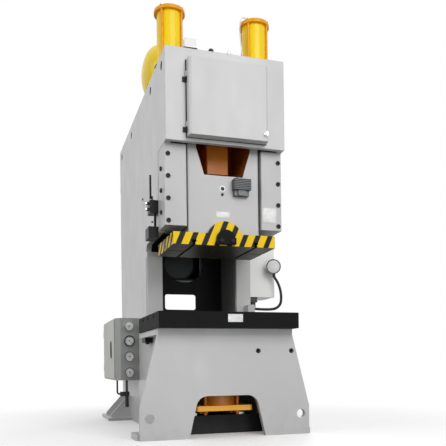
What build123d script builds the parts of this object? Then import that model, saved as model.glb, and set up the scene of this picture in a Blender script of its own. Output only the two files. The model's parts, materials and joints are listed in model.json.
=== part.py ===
from build123d import *
import math
import os

# Open-front mechanical stamping press, millimetres, +Z up, front towards -Y.
# Depths (Y) are measured back from the front face of the head while modelling.
# The finished pieces are then moved so that the origin is on the floor,
# in the middle of the four anchor bolt holes.

# Frame
half_width = 470.0          # outer face of a side plate from the middle
side_plate = 45.0
inner_half = half_width - side_plate
frame_depth = 2400.0
bed_top = 830.0
throat_high = 765.0         # from the bed to the roof of the throat
slide_clear = 620.0         # from the roof of the throat to the head
head_high = 690.0
throat_top = bed_top + throat_high
head_bottom = throat_top + slide_clear
head_top = head_bottom + head_high
head_front_plate = 40.0
throat_back = 815.0
throat_radius = 60.0
column_flange = 40.0
column_width = 132.0
gib_seat = 300.0
top_plate = 40.0
plate_edge_radius = 20.0
hole_margin = 1.0           # how far a cutter stands past the face it cuts
seat_gap = 0.3              # between a moving piece and what carries it

# Lifting holes in the side plates
lifting_hole_radius = 34.0
lifting_hole_z = head_top - 93.0
lifting_holes_y = (133.0, 580.0, frame_depth - 803.0, frame_depth - 147.0)

# Base
base_front = 50.0
base_plate = 45.0
bed_plate = 45.0
bed_under = bed_top - bed_plate
base_foot_half = half_width + 207.0
base_shoulder_half = half_width + 68.0
base_leg_height = 225.0
base_leg_width = 372.0
arch_slope = 73.0
arch_foot_half = base_foot_half - base_leg_width
arch_top_half = arch_foot_half - arch_slope
arch_height = 318.0
arch_radius = 90.0
leg_hole_x = half_width + 136.0
leg_hole_z = 161.0
leg_hole_radius = 35.0
tapped_hole_radius = 20.0
tapped_hole_z = bed_top - 172.0
tapped_holes_x = (base_shoulder_half - 286.0, base_shoulder_half - 8.0)
low_wall_y = 330.0
low_wall = 20.0
low_wall_high = 148.0

# Feet and anchors
anchor_x = half_width + 150.0
anchor_front = 200.0
anchor_rear = frame_depth - 300.0
anchor_radius = 17.5
anchor_centre = (anchor_front + anchor_rear) / 2
front_pad_end = anchor_x + 85.0
front_pad_depth = 200.0
front_pad = 45.0
rear_foot_end = anchor_x + 80.0
rear_foot_depth = 620.0
rear_foot = 30.0
gusset_height = 240.0
gusset_plate = 25.0
gusset_toe = 25.0           # height of a gusset at its outer end
gusset_inset = 40.0
gusset_from_anchor = 110.0

# Bolster
bolster_half = half_width + 80.0
bolster_front = -60.0
bolster_thick = 120.0
bolster_top = bed_top + bolster_thick
bolster_back = throat_back
bolster_corner = 8.0
bolster_hole = 90.0
bed_hole = 150.0
tee_slot_pitch = 230.0
tee_slot_mouth = 22.0
tee_slot_foot = 37.0
tee_slot_foot_high = 16.0
tee_slot_deep = 38.0
clamp_screw_radius = 27.0
clamp_screw_high = 30.0
clamp_screw_sunk = 8.0
clamp_screw_inset = 80.0
clamp_screw_socket = 14.0
clamp_screws_y = (base_front + 45.0, throat_back - 60.0)

# Guides
gib_front = 70.0
gib_width = 168.0
gib_set_in = 2.0
gib_outer = half_width - gib_set_in
gib_inner = gib_outer - gib_width
gib_bottom = throat_top + 7.0
gib_corner = 4.0
gib_bolt_x = half_width - 29.0
gib_bolt_pitch = 166.0
gib_bolt_top = head_bottom - 80.0
gib_bolts_per_side = 4
bolt_head_radius = 17.0
bolt_head_high = 16.0
bolt_head_sunk = 10.0
bolt_socket = 9.0
adjust_screw_radius = 12.0
adjust_screw_out = 12.0
liner = 14.0
liner_set_back = 40.0
liner_end = 4.0
guide_gap = 0.3
rear_guide_depth = 70.0
rear_guide_top = head_bottom - 30.0

# Slide
stroke = 150.0
slide_centre = 350.0
slide_half = gib_inner - liner - guide_gap
slide_front = 95.0
slide_back = 605.0
slide_top = head_bottom + 215.0
slide_wall = 60.0
slide_edge_radius = 10.0
wing_half = inner_half - 45.0
wing_depth = 58.0
wing_gap = 1.0
wing_bottom = throat_top + 55.0
wing_top = head_bottom - 25.0
flange_over_gib = 109.0
flange_half = gib_inner + flange_over_gib
flange_front = 65.0
flange_back = 634.0
flange_thick = 93.0
die_space_high = 513.0
flange_bottom = bolster_top + die_space_high
flange_top = flange_bottom + flange_thick
flange_corner = 6.0
flange_slot_inset = 161.0
flange_slot_x = flange_half - flange_slot_inset
hump_radius = 142.0
hump_centre = flange_bottom + 47.0
shank_hole = 25.0
shank_deep = 80.0
clamp_radius = 74.0         # round top of the shank clamp
clamp_plate = 24.0
clamp_lift = 8.0
clamp_foot_high = 48.0
clamp_foot_depth = 45.0
clamp_bolt_x = 45.0
clamp_bolt_radius = 13.0
clamp_bolt_high = 12.0
clamp_bolt_socket = 7.0
pocket_floor = head_bottom - 208.0
pocket_side = 67.7
pocket_slope = 63.0
pocket_half = slide_half - pocket_side
pocket_floor_half = pocket_half - pocket_slope
pocket_back = 560.0

# Gear motor on the slide for the height adjustment
gear_motor_left = 67.0
gear_motor_width = 137.0
gear_motor_bottom = pocket_floor - 109.0
gear_motor_high = 82.0
gear_motor_deep = 66.0
gear_fin_pitch = 13.0
gear_fin_gap = 6.0
gear_fin_deep = 10.0
gear_fins = 6
gearbox_radius = 34.0
gearbox_drop = 44.0
gearbox_deep = 36.0
gearbox_nose = 50.0

# Crank drive
crank_z = head_top - 325.0
throw = stroke / 2
journal_radius = 70.0
crankpin_radius = 85.0
crankpin_half = 92.0
web_thick = 50.0
web_hub_radius = 95.0
web_pin_radius = 105.0
bush_wall = 15.0
bush_gap = 0.05
bush_out = 4.0              # how far a bush and its boss stand out of the wall
bearing_boss = 40.0
bearing_wall = 90.0
bearing_wall_bottom = crank_z - 130.0
front_bearing_gap = 10.0
rear_bearing_back = 640.0
tail_wall = 45.0
rod_eye_wall = 45.0
rod_side_gap = 1.0
rod_shank_half = 92.0
rod_neck_half = 64.0
rod_shank_set_in = 20.0
rod_foot_half = 90.0
rod_foot_depth = 200.0
rod_foot_high = 240.0
rod_foot_corner = 12.0
rod_cap_lug = 34.0
screw_radius = 42.0
screw_long = 250.0          # from the centre of the ball
ball_radius = 60.0
ball_room = 4.0
seat_high = 20.0
seat_rim = 30.0
ball_gap = 18.0
ball_z = pocket_floor + seat_high + ball_gap + ball_radius
rod_foot_bottom = ball_z - 40.0

# Flywheel and motor
guard_wall = 4.0
guard_room = 26.0
guard_lap = 5.0             # side of the guard outside the bearing walls
flywheel_radius = inner_half + guard_lap - guard_wall - guard_room
tail_wall_drop = 80.0
tail_wall_bottom = crank_z - flywheel_radius - tail_wall_drop
flywheel_width = 150.0
flywheel_rim = 70.0
flywheel_web = 45.0
flywheel_hub = 150.0
flywheel_holes = 6
flywheel_hole = 55.0
flywheel_front = frame_depth + 40.0
clutch_radius = 210.0
clutch_width = 70.0
clutch_chamfer = 10.0
clutch_gap = 1.0
belt_thick = 14.0
belt_width = 100.0
belt_sunk = 8.0
pulley_radius = 100.0
pulley_rim = 10.0
pulley_side = 14.0
motor_drop = 980.0          # from the crankshaft down to the motor
motor_z = crank_z - motor_drop
motor_x = 40.0
motor_radius = 165.0
motor_rear_gap = 130.0      # from the back of the motor to the back of the frame
motor_length = 480.0
motor_fan_cover = 60.0
motor_end_cover = 30.0
motor_fins = 24
motor_fin_half = 3.0
motor_fin_high = 18.0
motor_foot_half = 130.0
motor_foot_high = 12.0
motor_box_width = 140.0
motor_box_depth = 150.0
motor_box_high = 170.0
motor_shaft_radius = 24.0
motor_back = frame_depth - motor_rear_gap
motor_front = motor_back - motor_length
shelf_thick = 20.0
shelf_top = motor_z - motor_radius - motor_foot_high
guard_pulley_room = 56.0
guard_depth = 300.0
guard_slots = 7
guard_slot_pitch = 50.0
guard_slot_long = 320.0
guard_slot_high = 20.0

# Middle wall in the throat
wall_from_back = 835.0
wall_y = frame_depth - wall_from_back
wall_thick = 30.0
wall_hole_radius = 205.0
wall_hole_z = motor_z - 16.0
wall_window_half = 159.0
wall_window_lift = 275.0
wall_window_high = 154.0
wall_window_bottom = bed_top + wall_window_lift
wall_window_top = wall_window_bottom + wall_window_high
wall_window_corner = 25.0

# Balance cylinders and air tank
balance_x = inner_half - 69.0
balance_y = 340.0
balance_tube_radius = 100.0
balance_tube_wall = 8.0
balance_flange_radius = 123.0
balance_flange = 30.0
balance_tube_length = 385.0
tie_rod_radius = 9.0
tie_rod_circle = 111.0
tie_rods = 4
piston_thick = 45.0
piston_top_gap = 30.0
piston_rod_radius = 22.0
rod_nut_radius = 36.0
rod_nut_high = 30.0
ear_thick = 50.0
ear_half_depth = 38.0
ear_reach = 45.0
tank_y = 1000.0
tank_radius = 240.0
tank_half = half_width - 140.0
tank_dish = 132.0
tank_lift = 10.0
saddle_x = 220.0
saddle_thick = 20.0
saddle_half_depth = 170.0

# Head cover
cover_half = half_width - 160.0
cover_bottom = head_bottom + 28.0
cover_top = head_top - 93.0
cover_depth = 75.0
cover_wall = 4.0
cover_gap = 3.0
cover_corner = 22.0
cover_opening_half = cover_half - 48.0
cover_opening_bottom = cover_bottom + 47.0
cover_opening_top = cover_top - 47.0
cover_opening_corner = 40.0
hinge_radius = 5.0
hinge_high = 76.0
hinge_leaf = 26.0
hinge_leaf_thick = 8.0
hinge_levels = (cover_bottom + 70.0, cover_top - 127.0)
hinge_side = 6.0            # hinge axis from the side of the cover
hinge_front = 18.0          # hinge axis from the front of the head
latch_x = cover_half - 24.0
latch_z = cover_bottom + 50.0
latch_radius = 15.0
latch_plate = 12.0
latch_grip = 18.0
latch_grip_half = 5.0

# Air control cabinet on the left side
air_from_back = 1100.0
air_front = frame_depth - air_from_back
air_depth = 940.0
air_width = 215.0
air_bottom = 417.0
air_high = 580.0
air_wall = 4.0
air_bevel = 45.0
air_door_gap = 40.0
air_door_margin = 25.0
air_door_lap = 12.0
air_door_thick = 8.0
air_door_lift = 4.0
air_hinge_radius = 4.5
air_hinge_from_mouth = 24.0
air_hinge_half = 35.0
air_hinge_inset = 90.0
air_handle_from_edge = 207.0
air_handle_half = 40.0
air_handle_high = 85.0
air_grip_half = 12.0
air_grip_high = 70.0
gauge_radius = 51.0
gauge_deep = 28.0
gauge_rim = 6.0
gauge_levels = (air_bottom + 505.0, air_bottom + 366.0, air_bottom + 221.0, air_bottom + 73.0)
filter_x = 111.0            # centre of the air filter from the side plate
filter_y = 50.0             # and behind the front of the cabinet
filter_low = air_bottom - 252.0
filter_block_bottom = air_bottom - 148.0
filter_block_high = 40.0
filter_block_half = 30.0
filter_block_left = 62.0
filter_block_right = 22.0
filter_block_corner = 8.0
filter_bowl_radius = 18.0
filter_pipe_radius = 11.0
air_hose_radius = 8.0
air_hose_out = 26.0
air_hose_bend = 20.0

# Electric cabinet on the right side
box_front = 836.0
box_depth = 280.0
box_width = 219.0
box_bottom = bed_top + 335.0
box_high = 600.0
box_wall = 4.0
box_door = 23.0
box_door_wall = 4.0
box_door_margin = 3.0
box_hinge_radius = 5.0
box_hinge_out = 6.0         # hinge axis outside the shell, sideways and behind
box_hinge_half = 32.0
box_hinge_leaf = 26.0
box_hinge_inset = 90.0
box_handle_inset = 34.0
box_handle_radius = 12.0
box_handle_neck = 10.0
box_handle_grip = 12.0
box_handle_half = 6.0
box_handle_long = 55.0
connector_x = 11.0
connector_width = 66.0
connector_depth = 70.0
connector_high = 46.0
connector_neck_radius = 27.0
connector_neck = 44.0

# Work lamp on its bent arm, points measured from the right side plate
lamp_hose_radius = 11.0
lamp_radius = 66.0
lamp_deep = 60.0
lamp_wall = 4.0
lamp_back_share = 0.55
lamp_foot_front = 715.0
lamp_foot_half = 35.0
lamp_foot_reach = 60.0
lamp_foot_out = 4.0
lamp_foot_corner = 8.0
lamp_arm_y = 740.0
lamp_arm_z = bed_top + 218.0
lamp_arm_points = (
    (112.0, 0.0, -6.0), (214.0, 0.0, 2.0), (262.0, 0.0, 44.0), (271.0, 0.0, 106.0),
    (264.0, 4.0, 178.0), (242.0, 12.0, 245.0), (219.0, 24.0, 286.0), (212.0, 30.0, 322.0),
)
lamp_arm_radii = (500.0, 80.0, 60.0, 150.0, 240.0, 200.0, 70.0)
lamp_knuckle_radius = 14.0
lamp_knuckle_high = 38.0
lamp_knuckle_socket = 18.0
lamp_shade_lift = 66.0      # centre of the shade above the foot of the knuckle
lamp_shade_side = -9.0
lamp_shade_front = -6.0
lamp_turn = -14.0
lamp_tilt = 98.0

# Hand pump on the left side
pump_width = 68.0
pump_bottom = throat_top + 147.0
pump_high = 100.0
pump_deep = 110.0
pump_corner = 6.0
pump_union_radius = 11.0
pump_union_long = 20.0
pump_union_y = 26.0
pump_unions_z = (30.0, 76.0)
pump_pivot_x = 9.0
pump_pivot_y = 16.0
pump_pivot_half = 8.0
pump_pivot_lug = 20.0
lever_long = 195.0
lever_radius = 8.0
pump_pipe_radius = 10.0
pump_pipe_x = 22.0
pump_pipe_y = 30.0
reservoir_width = 80.0
reservoir_bottom = throat_top - 48.0
reservoir_high = 89.0
reservoir_deep = 150.0
reservoir_corner = 10.0

# Die cushion under the bed
cushion_y = 300.0
cushion_radius = 130.0
cushion_wall = 12.0
cushion_plate_half = 228.0
cushion_plate_deep = 340.0
cushion_plate_corner = 20.0
cushion_plate_bottom = 196.0
cushion_plate = 41.0
cushion_plate_top = cushion_plate_bottom + cushion_plate
cushion_floor = 20.0
cushion_travel = 80.0
cushion_top_gap = 10.0
cushion_pad = 35.0
cushion_pad_inset = 6.0
cushion_piston = 60.0
cushion_piston_rod = 58.0
cushion_pad_low = bed_under - cushion_travel - cushion_pad - cushion_top_gap
cushion_drum_gap = 83.0     # from the top of the drum to the resting pad
cushion_rod_x = 132.0
cushion_rod_y = 77.0
cushion_rod_radius = 14.0
cushion_rod_end = 12.0
nut_radius = 23.0
nut_high = 24.0

# Small fittings on the head and below the bolster
head_box_inset = 195.0
head_box_x = head_box_inset - half_width
head_box_half = 45.0
head_box_front = 2.0
head_box_depth = 68.0
head_box_high = 68.0
head_box_foot = 8.0
head_box_lap = 6.0
dome_x = -110.0
dome_y = 24.0
dome_radius = 22.0
dome_high = 12.0
dome_edge = 8.0
valve_front = 600.0
valve_depth = 140.0
valve_width = 66.0
valve_top = bed_under
valve_high = 42.0
valve_port_radius = 16.0
valve_port_high = 12.0

parts = {}


def block(x_low, x_high, y_low, y_high, z_low, z_high):
    """A plain block between two opposite corners."""
    middle = Pos((x_low + x_high) / 2, (y_low + y_high) / 2, (z_low + z_high) / 2)
    return middle * Box(x_high - x_low, y_high - y_low, z_high - z_low)


def bar_x(y, z, radius, low, high):
    """A round bar along X."""
    return Pos((low + high) / 2, y, z) * Rot(0, 90, 0) * Cylinder(radius, high - low)


def bar_y(x, z, radius, low, high):
    """A round bar along Y."""
    return Pos(x, (low + high) / 2, z) * Rot(90, 0, 0) * Cylinder(radius, high - low)


def bar_z(x, y, radius, low, high):
    """A round bar along Z."""
    return Pos(x, y, (low + high) / 2) * Cylinder(radius, high - low)


def hole_x(y, z, radius, low, high):
    """Cutter for a round hole along X, standing past both faces."""
    return bar_x(y, z, radius, low - hole_margin, high + hole_margin)


def hole_y(x, z, radius, low, high):
    """Cutter for a round hole along Y, standing past both faces."""
    return bar_y(x, z, radius, low - hole_margin, high + hole_margin)


def hole_z(x, y, radius, low, high):
    """Cutter for a round hole along Z, standing past both faces."""
    return bar_z(x, y, radius, low - hole_margin, high + hole_margin)


def plate_x(outline, low, high):
    """A flat outline in Y and Z made thick along X."""
    return extrude(Plane.YZ.offset(low) * outline, high - low, dir=(1, 0, 0))


def plate_y(outline, low, high):
    """A flat outline in X and Z made thick along Y."""
    return extrude(Plane.XZ.offset(-low) * outline, high - low, dir=(0, 1, 0))


def plate_z(outline, low, high):
    """A flat outline in X and Y made thick along Z."""
    return extrude(Plane.XY.offset(low) * outline, high - low, dir=(0, 0, 1))


def window(half, bottom, top, corner):
    """Outline in X and Z of an opening with round corners, centred on the press."""
    outline = Pos(0, (bottom + top) / 2) * Rectangle(2 * half, top - bottom)
    return fillet(outline.vertices(), corner)


def round_corner(outline, point, radius):
    """The outline with the corner nearest to a point rounded."""
    corner = outline.vertices().sort_by_distance(point)[0]
    return fillet(corner, radius)


def both_sides(part):
    """A piece together with its mirror image across the middle of the press."""
    return part + mirror(part, Plane.YZ)


def capsule(first_z, first_radius, second_z, second_radius, shift=0.0):
    """Outline in X and Z round two circles, one above the other."""
    upper = Pos(0, first_z) * Circle(first_radius)
    lower = Pos(shift, second_z) * Circle(second_radius)
    return make_hull(upper.edges() + lower.edges())


def hexagon(radius):
    """Outline of a hexagon head."""
    return RegularPolygon(radius, 6)


def tee_slot(length):
    """Cutter for a tee slot along X, its mouth at Z = 0."""
    mouth = Box(length, tee_slot_mouth, tee_slot_deep, align=(Align.CENTER, Align.CENTER, Align.MAX))
    foot = Pos(0, 0, -tee_slot_deep) * Box(
        length, tee_slot_foot, tee_slot_foot_high, align=(Align.CENTER, Align.CENTER, Align.MIN)
    )
    return mouth + foot


def side_outline():
    """Outline of a side plate: base, throat, guide seat and head."""
    base_start = base_front + base_plate
    throat = throat_back + column_flange
    outline = Polygon(
        (base_start, 0), (base_start, bed_under), (throat, bed_under), (throat, throat_top),
        (gib_seat, throat_top), (gib_seat, head_bottom), (head_front_plate, head_bottom),
        (head_front_plate, head_top), (frame_depth, head_top), (frame_depth, 0), align=None,
    )
    outline = round_corner(outline, (throat, throat_top), throat_radius)
    return round_corner(outline, (frame_depth, head_top), plate_edge_radius)


def make_side_plates():
    """The two side plates with their lifting holes."""
    plate = plate_x(side_outline(), -half_width, -inner_half)
    for depth in lifting_holes_y:
        plate -= hole_x(depth, lifting_hole_z, lifting_hole_radius, -half_width, -inner_half)
    parts["side_plates"] = both_sides(plate)


def arch_outline():
    """Outline of the arch cut out of the base front plate."""
    arch = Polygon(
        (-arch_foot_half, -hole_margin), (-arch_top_half, arch_height), (arch_top_half, arch_height),
        (arch_foot_half, -hole_margin), align=None,
    )
    for side in (-1, 1):
        arch = round_corner(arch, (side * arch_top_half, arch_height), arch_radius)
    return arch


def make_base():
    """Front plate with its arch and the bed plate on top."""
    outline = Polygon(
        (-base_foot_half, 0), (-base_foot_half, base_leg_height), (-base_shoulder_half, bed_under),
        (base_shoulder_half, bed_under), (base_foot_half, base_leg_height), (base_foot_half, 0),
        align=None,
    )
    back = base_front + base_plate
    front = plate_y(outline - arch_outline(), base_front, back)
    for across in (-leg_hole_x, leg_hole_x):
        front -= hole_y(across, leg_hole_z, leg_hole_radius, base_front, back)
    for across in tapped_holes_x:
        front -= hole_y(across, tapped_hole_z, tapped_hole_radius, base_front, back)
    parts["base_front_plate"] = front
    bed = block(
        -base_shoulder_half, base_shoulder_half, base_front, throat_back + column_flange, bed_under, bed_top
    )
    parts["bed_plate"] = bed - hole_z(0, cushion_y, bed_hole, bed_under, bed_top)


def make_feet():
    """Front anchor pads and rear feet with gussets."""
    pad_start = base_front + base_plate
    pad = block(half_width, front_pad_end, pad_start, pad_start + front_pad_depth, 0, front_pad)
    pad -= hole_z(anchor_x, anchor_front, anchor_radius, 0, front_pad)
    parts["front_anchor_pads"] = both_sides(pad)
    foot_start = frame_depth - rear_foot_depth
    foot = block(half_width, rear_foot_end, foot_start, frame_depth, 0, rear_foot)
    foot -= hole_z(anchor_x, anchor_rear, anchor_radius, 0, rear_foot)
    toe = rear_foot_end - gusset_toe
    gusset = Polygon(
        (half_width, rear_foot), (half_width, gusset_height), (half_width + gusset_inset, gusset_height),
        (toe, rear_foot + gusset_toe), (toe, rear_foot), align=None,
    )
    feet = both_sides(foot)
    for start in (foot_start + gusset_inset, anchor_rear + gusset_from_anchor):
        feet += both_sides(plate_y(gusset, start, start + gusset_plate))
    parts["rear_feet"] = feet


def make_columns():
    """Flange plates that face the two columns of the throat."""
    column = block(
        half_width - column_width, half_width, throat_back, throat_back + column_flange,
        bed_top, throat_top - throat_radius,
    )
    edge = column.edges().filter_by(Axis.X).sort_by(Axis.Z)[-2:].sort_by(Axis.Y)[:1]
    parts["column_flanges"] = both_sides(fillet(edge, column_flange / 2))


def make_walls():
    """Cross walls between the side plates and the head's front and top plates."""
    outline = Pos(0, head_bottom / 2) * Rectangle(2 * inner_half, head_bottom)
    outline -= Pos(motor_x, wall_hole_z) * Circle(wall_hole_radius)
    outline -= window(wall_window_half, wall_window_bottom, wall_window_top, wall_window_corner)
    low = block(-inner_half, inner_half, low_wall_y, low_wall_y + low_wall, 0, low_wall_high)
    parts["cross_walls"] = plate_y(outline, wall_y, wall_y + wall_thick) + low

    front = Pos(0, (head_bottom + head_top) / 2) * Rectangle(2 * half_width, head_high)
    front -= window(cover_opening_half, cover_opening_bottom, cover_opening_top, cover_opening_corner)
    parts["head_front_plate"] = plate_y(front, 0, head_front_plate)

    under = head_top - top_plate
    top = block(-inner_half, inner_half, head_front_plate, frame_depth - tail_wall, under, head_top)
    for across in (-balance_x, balance_x):
        top -= hole_z(across, balance_y, piston_rod_radius * 2, under, head_top)
    parts["head_top_plate"] = top


def bearing_wall_piece(front, back, bottom, top):
    """A cross wall of the head with a round boss bored for its bush."""
    wall = plate_y(Pos(0, (bottom + top) / 2) * Rectangle(2 * inner_half, top - bottom), front, back)
    bore = journal_radius + bush_wall
    boss = bar_y(0, crank_z, bore + bearing_boss, front - bush_out, back + bush_out)
    return wall + boss - hole_y(0, crank_z, bore, front - bush_out, back + bush_out)


def front_bearing_start():
    """Depth at which the front bearing wall begins."""
    return slide_centre - crankpin_half - web_thick - bearing_wall - front_bearing_gap


def make_bearings():
    """The three bearing walls of the crankshaft and their bronze bushes."""
    under_top = head_top - top_plate
    front_start = front_bearing_start()
    walls = [
        (front_start, front_start + bearing_wall, bearing_wall_bottom, under_top),
        (rear_bearing_back - bearing_wall, rear_bearing_back, bearing_wall_bottom, under_top),
        (frame_depth - tail_wall, frame_depth, tail_wall_bottom, head_top),
    ]
    bushes = Part()
    solids = Part()
    bore = journal_radius + bush_wall
    for front, back, bottom, top in walls:
        solids += bearing_wall_piece(front, back, bottom, top)
        low, high = front - bush_out, back + bush_out
        bush = bar_y(0, crank_z, bore, low, high)
        bushes += bush - hole_y(0, crank_z, journal_radius + bush_gap, low, high)
    parts["bearing_walls"] = solids
    parts["crankshaft_bushes"] = bushes


def make_bolster():
    """Bolster plate with three tee slots, a centre hole and its four clamp screws."""
    bolster = block(-bolster_half, bolster_half, bolster_front, bolster_back, bed_top, bolster_top)
    bolster = chamfer(bolster.edges().filter_by(Axis.Z), bolster_corner)
    middle = (bolster_front + bolster_back) / 2
    for step in (-1, 0, 1):
        depth = middle + step * tee_slot_pitch
        bolster -= Pos(0, depth, bolster_top) * tee_slot(2 * (bolster_half + hole_margin))
    bolster -= hole_z(0, slide_centre, bolster_hole, bed_top, bolster_top)
    head_top_z = bolster_top - clamp_screw_sunk
    head_low = head_top_z - clamp_screw_high
    screws = Part()
    for across in (clamp_screw_inset - base_shoulder_half, base_shoulder_half - clamp_screw_inset):
        for depth in clamp_screws_y:
            sink = clamp_screw_radius + hole_margin
            bolster -= bar_z(across, depth, sink, head_low, bolster_top + hole_margin)
            socket = Pos(across, depth) * hexagon(clamp_screw_socket)
            screws += bar_z(across, depth, clamp_screw_radius, head_low, head_top_z)
            screws -= plate_z(socket, head_top_z - clamp_screw_high / 2, bolster_top)
    parts["bolster"] = bolster
    parts["bolster_screws"] = screws


def make_guides():
    """Gib blocks, bronze liners, rear guide bars and their bolts."""
    gib = block(gib_inner, gib_outer, gib_front, gib_seat, gib_bottom, head_bottom)
    gib = chamfer(gib.edges().filter_by(Axis.Z).sort_by(Axis.Y)[:2], gib_corner)
    sunk = gib_front + bolt_head_sunk
    head_start = sunk - bolt_head_high
    adjuster_y = (gib_front + gib_seat) / 2
    bolts = Part()
    adjusters = Part()
    for number in range(gib_bolts_per_side):
        level = gib_bolt_top - number * gib_bolt_pitch
        gib -= bar_y(gib_bolt_x, level, bolt_head_radius + hole_margin, gib_front - hole_margin, sunk)
        bolts += bar_y(gib_bolt_x, level, bolt_head_radius, head_start, sunk)
        socket = Pos(gib_bolt_x, level) * hexagon(bolt_socket)
        bolts -= plate_y(socket, head_start - hole_margin, head_start + bolt_head_high / 2)
        if number:
            screw_level = level + gib_bolt_pitch / 2
            adjusters += bar_x(
                adjuster_y, screw_level, adjust_screw_radius, gib_outer, half_width + adjust_screw_out
            )
    parts["gib_blocks"] = both_sides(gib)
    parts["gib_bolts"] = both_sides(bolts) + both_sides(adjusters)
    strip = block(
        gib_inner - liner, gib_inner, slide_front + liner_set_back, gib_seat, gib_bottom + liner_end,
        head_bottom - liner_end,
    )
    parts["gib_liners"] = both_sides(strip)
    guide_start = gib_seat + wing_depth + 2 * wing_gap
    guide = block(
        gib_inner - liner, inner_half, guide_start, guide_start + rear_guide_depth, gib_bottom, rear_guide_top
    )
    parts["rear_guide_bars"] = both_sides(guide)


def pocket_outline():
    """Outline of the slide's open pocket: narrow floor, wide mouth, open top."""
    top = slide_top + hole_margin
    return Polygon(
        (-pocket_floor_half, pocket_floor), (-pocket_half, head_bottom), (-pocket_half, top),
        (pocket_half, top), (pocket_half, head_bottom), (pocket_floor_half, pocket_floor),
        align=None,
    )


def make_slide():
    """Slide body with its pocket, guide wings, ears and the round hump over the shank."""
    body = block(-slide_half, slide_half, slide_front, slide_back, flange_top, slide_top)
    body = fillet(body.edges().filter_by(Axis.Z), slide_edge_radius)
    body -= plate_y(pocket_outline(), slide_front - hole_margin, pocket_back)
    body -= block(
        slide_wall - slide_half, slide_half - slide_wall, slide_front + slide_wall, slide_back - slide_wall,
        flange_top + slide_wall, pocket_floor - slide_wall,
    )
    root = slide_half - slide_wall / 3
    wing_start = gib_seat + wing_gap
    wing = block(root, wing_half, wing_start, wing_start + wing_depth, wing_bottom, wing_top)
    ear_low = slide_top - ear_thick
    ear_start, ear_end = balance_y - ear_half_depth, balance_y + ear_half_depth
    ear = block(root, balance_x + ear_reach, ear_start, ear_end, ear_low, slide_top)
    ear -= hole_z(balance_x, balance_y, piston_rod_radius, ear_low, slide_top)
    hump = plate_y(Pos(0, hump_centre) * Circle(hump_radius), flange_front, slide_front + hole_margin)
    hump &= block(-hump_radius, hump_radius, 0, slide_back, flange_top, slide_top)
    parts["slide"] = body + both_sides(wing) + both_sides(ear) + hump


def make_flange():
    """Slide flange with tee slots below, shank hole, arched clamp and its two bolts."""
    flange = block(-flange_half, flange_half, flange_front, flange_back, flange_bottom, flange_top)
    flange = chamfer(flange.edges().filter_by(Axis.Z), flange_corner)
    depth = flange_back - flange_front
    turned = Pos(0, 0, flange_bottom) * Rot(180, 0, 0)
    for across in (-flange_slot_x, flange_slot_x):
        long_slot = Rot(0, 0, 90) * tee_slot(depth + 2 * hole_margin)
        flange -= Pos(across, flange_front + depth / 2, 0) * turned * long_slot
    for across in (-flange_half, flange_half):
        side_slot = tee_slot(2 * (flange_half - flange_slot_x + hole_margin))
        flange -= Pos(across, slide_centre, 0) * turned * side_slot
    shank_top = flange_bottom + shank_deep
    flange -= bar_z(0, slide_centre, shank_hole, flange_bottom - hole_margin, shank_top)
    parts["slide_flange"] = flange

    clamp_low = flange_bottom + clamp_lift
    arch = Pos(0, hump_centre) * Circle(clamp_radius)
    arch += Pos(0, (clamp_low + hump_centre) / 2) * Rectangle(2 * clamp_radius, hump_centre - clamp_low)
    arch -= Pos(0, clamp_low - clamp_radius) * Rectangle(4 * clamp_radius, 2 * clamp_radius)
    clamp = plate_y(arch, flange_front - clamp_plate, flange_front)
    foot_front = flange_front - clamp_foot_depth
    clamp += block(
        -clamp_radius, clamp_radius, foot_front, flange_front, clamp_low, clamp_low + clamp_foot_high
    )
    level = clamp_low + clamp_foot_high / 2
    head_start = foot_front - clamp_bolt_high
    bolts = Part()
    for across in (-clamp_bolt_x, clamp_bolt_x):
        bolts += bar_y(across, level, clamp_bolt_radius, head_start, foot_front)
        socket = Pos(across, level) * hexagon(clamp_bolt_socket)
        bolts -= plate_y(socket, head_start - hole_margin, head_start + clamp_bolt_high / 2)
    parts["shank_clamp"] = clamp
    parts["shank_clamp_bolts"] = bolts


def make_slide_motor():
    """Finned gear motor that drives the height adjustment, on its gearbox."""
    right = gear_motor_left + gear_motor_width
    top = gear_motor_bottom + gear_motor_high
    front = slide_front - gear_motor_deep
    body = block(gear_motor_left, right, front, slide_front, gear_motor_bottom, top)
    for number in range(gear_fins):
        level = gear_motor_bottom + gear_fin_pitch * (number + 0.5)
        body -= block(
            gear_motor_left - hole_margin, right + hole_margin, front - hole_margin, front + gear_fin_deep,
            level, level + gear_fin_gap,
        )
    middle = (gear_motor_left + right) / 2
    low = gear_motor_bottom - gearbox_drop
    nose = Pos(middle, low + gearbox_drop / 2) * Circle(gearbox_radius)
    nose &= Pos(middle, low + gearbox_drop / 2) * Rectangle(2 * gearbox_radius, gearbox_drop)
    gearbox = plate_y(nose, slide_front - gearbox_nose, slide_front)
    gearbox += block(
        gear_motor_left + gear_fin_deep, right - gear_fin_deep, slide_front - gearbox_deep, slide_front,
        low, gear_motor_bottom,
    )
    parts["height_gear_motor"] = body + gearbox


def make_crankshaft():
    """Single-throw crankshaft from the front bearing to the flywheel, crankpin up."""
    pin_z = crank_z + throw
    pin_start, pin_end = slide_centre - crankpin_half, slide_centre + crankpin_half
    shaft_end = flywheel_front + flywheel_width + clutch_width
    shaft = bar_y(0, crank_z, journal_radius, front_bearing_start() - bush_out, pin_start)
    shaft += bar_y(0, crank_z, journal_radius, pin_end, shaft_end)
    shaft += bar_y(0, pin_z, crankpin_radius, pin_start, pin_end)
    web = capsule(pin_z, web_pin_radius, crank_z, web_hub_radius)
    for start in (pin_start - web_thick, pin_end):
        shaft += plate_y(web, start, start + web_thick)
    parts["crankshaft"] = shaft


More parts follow.
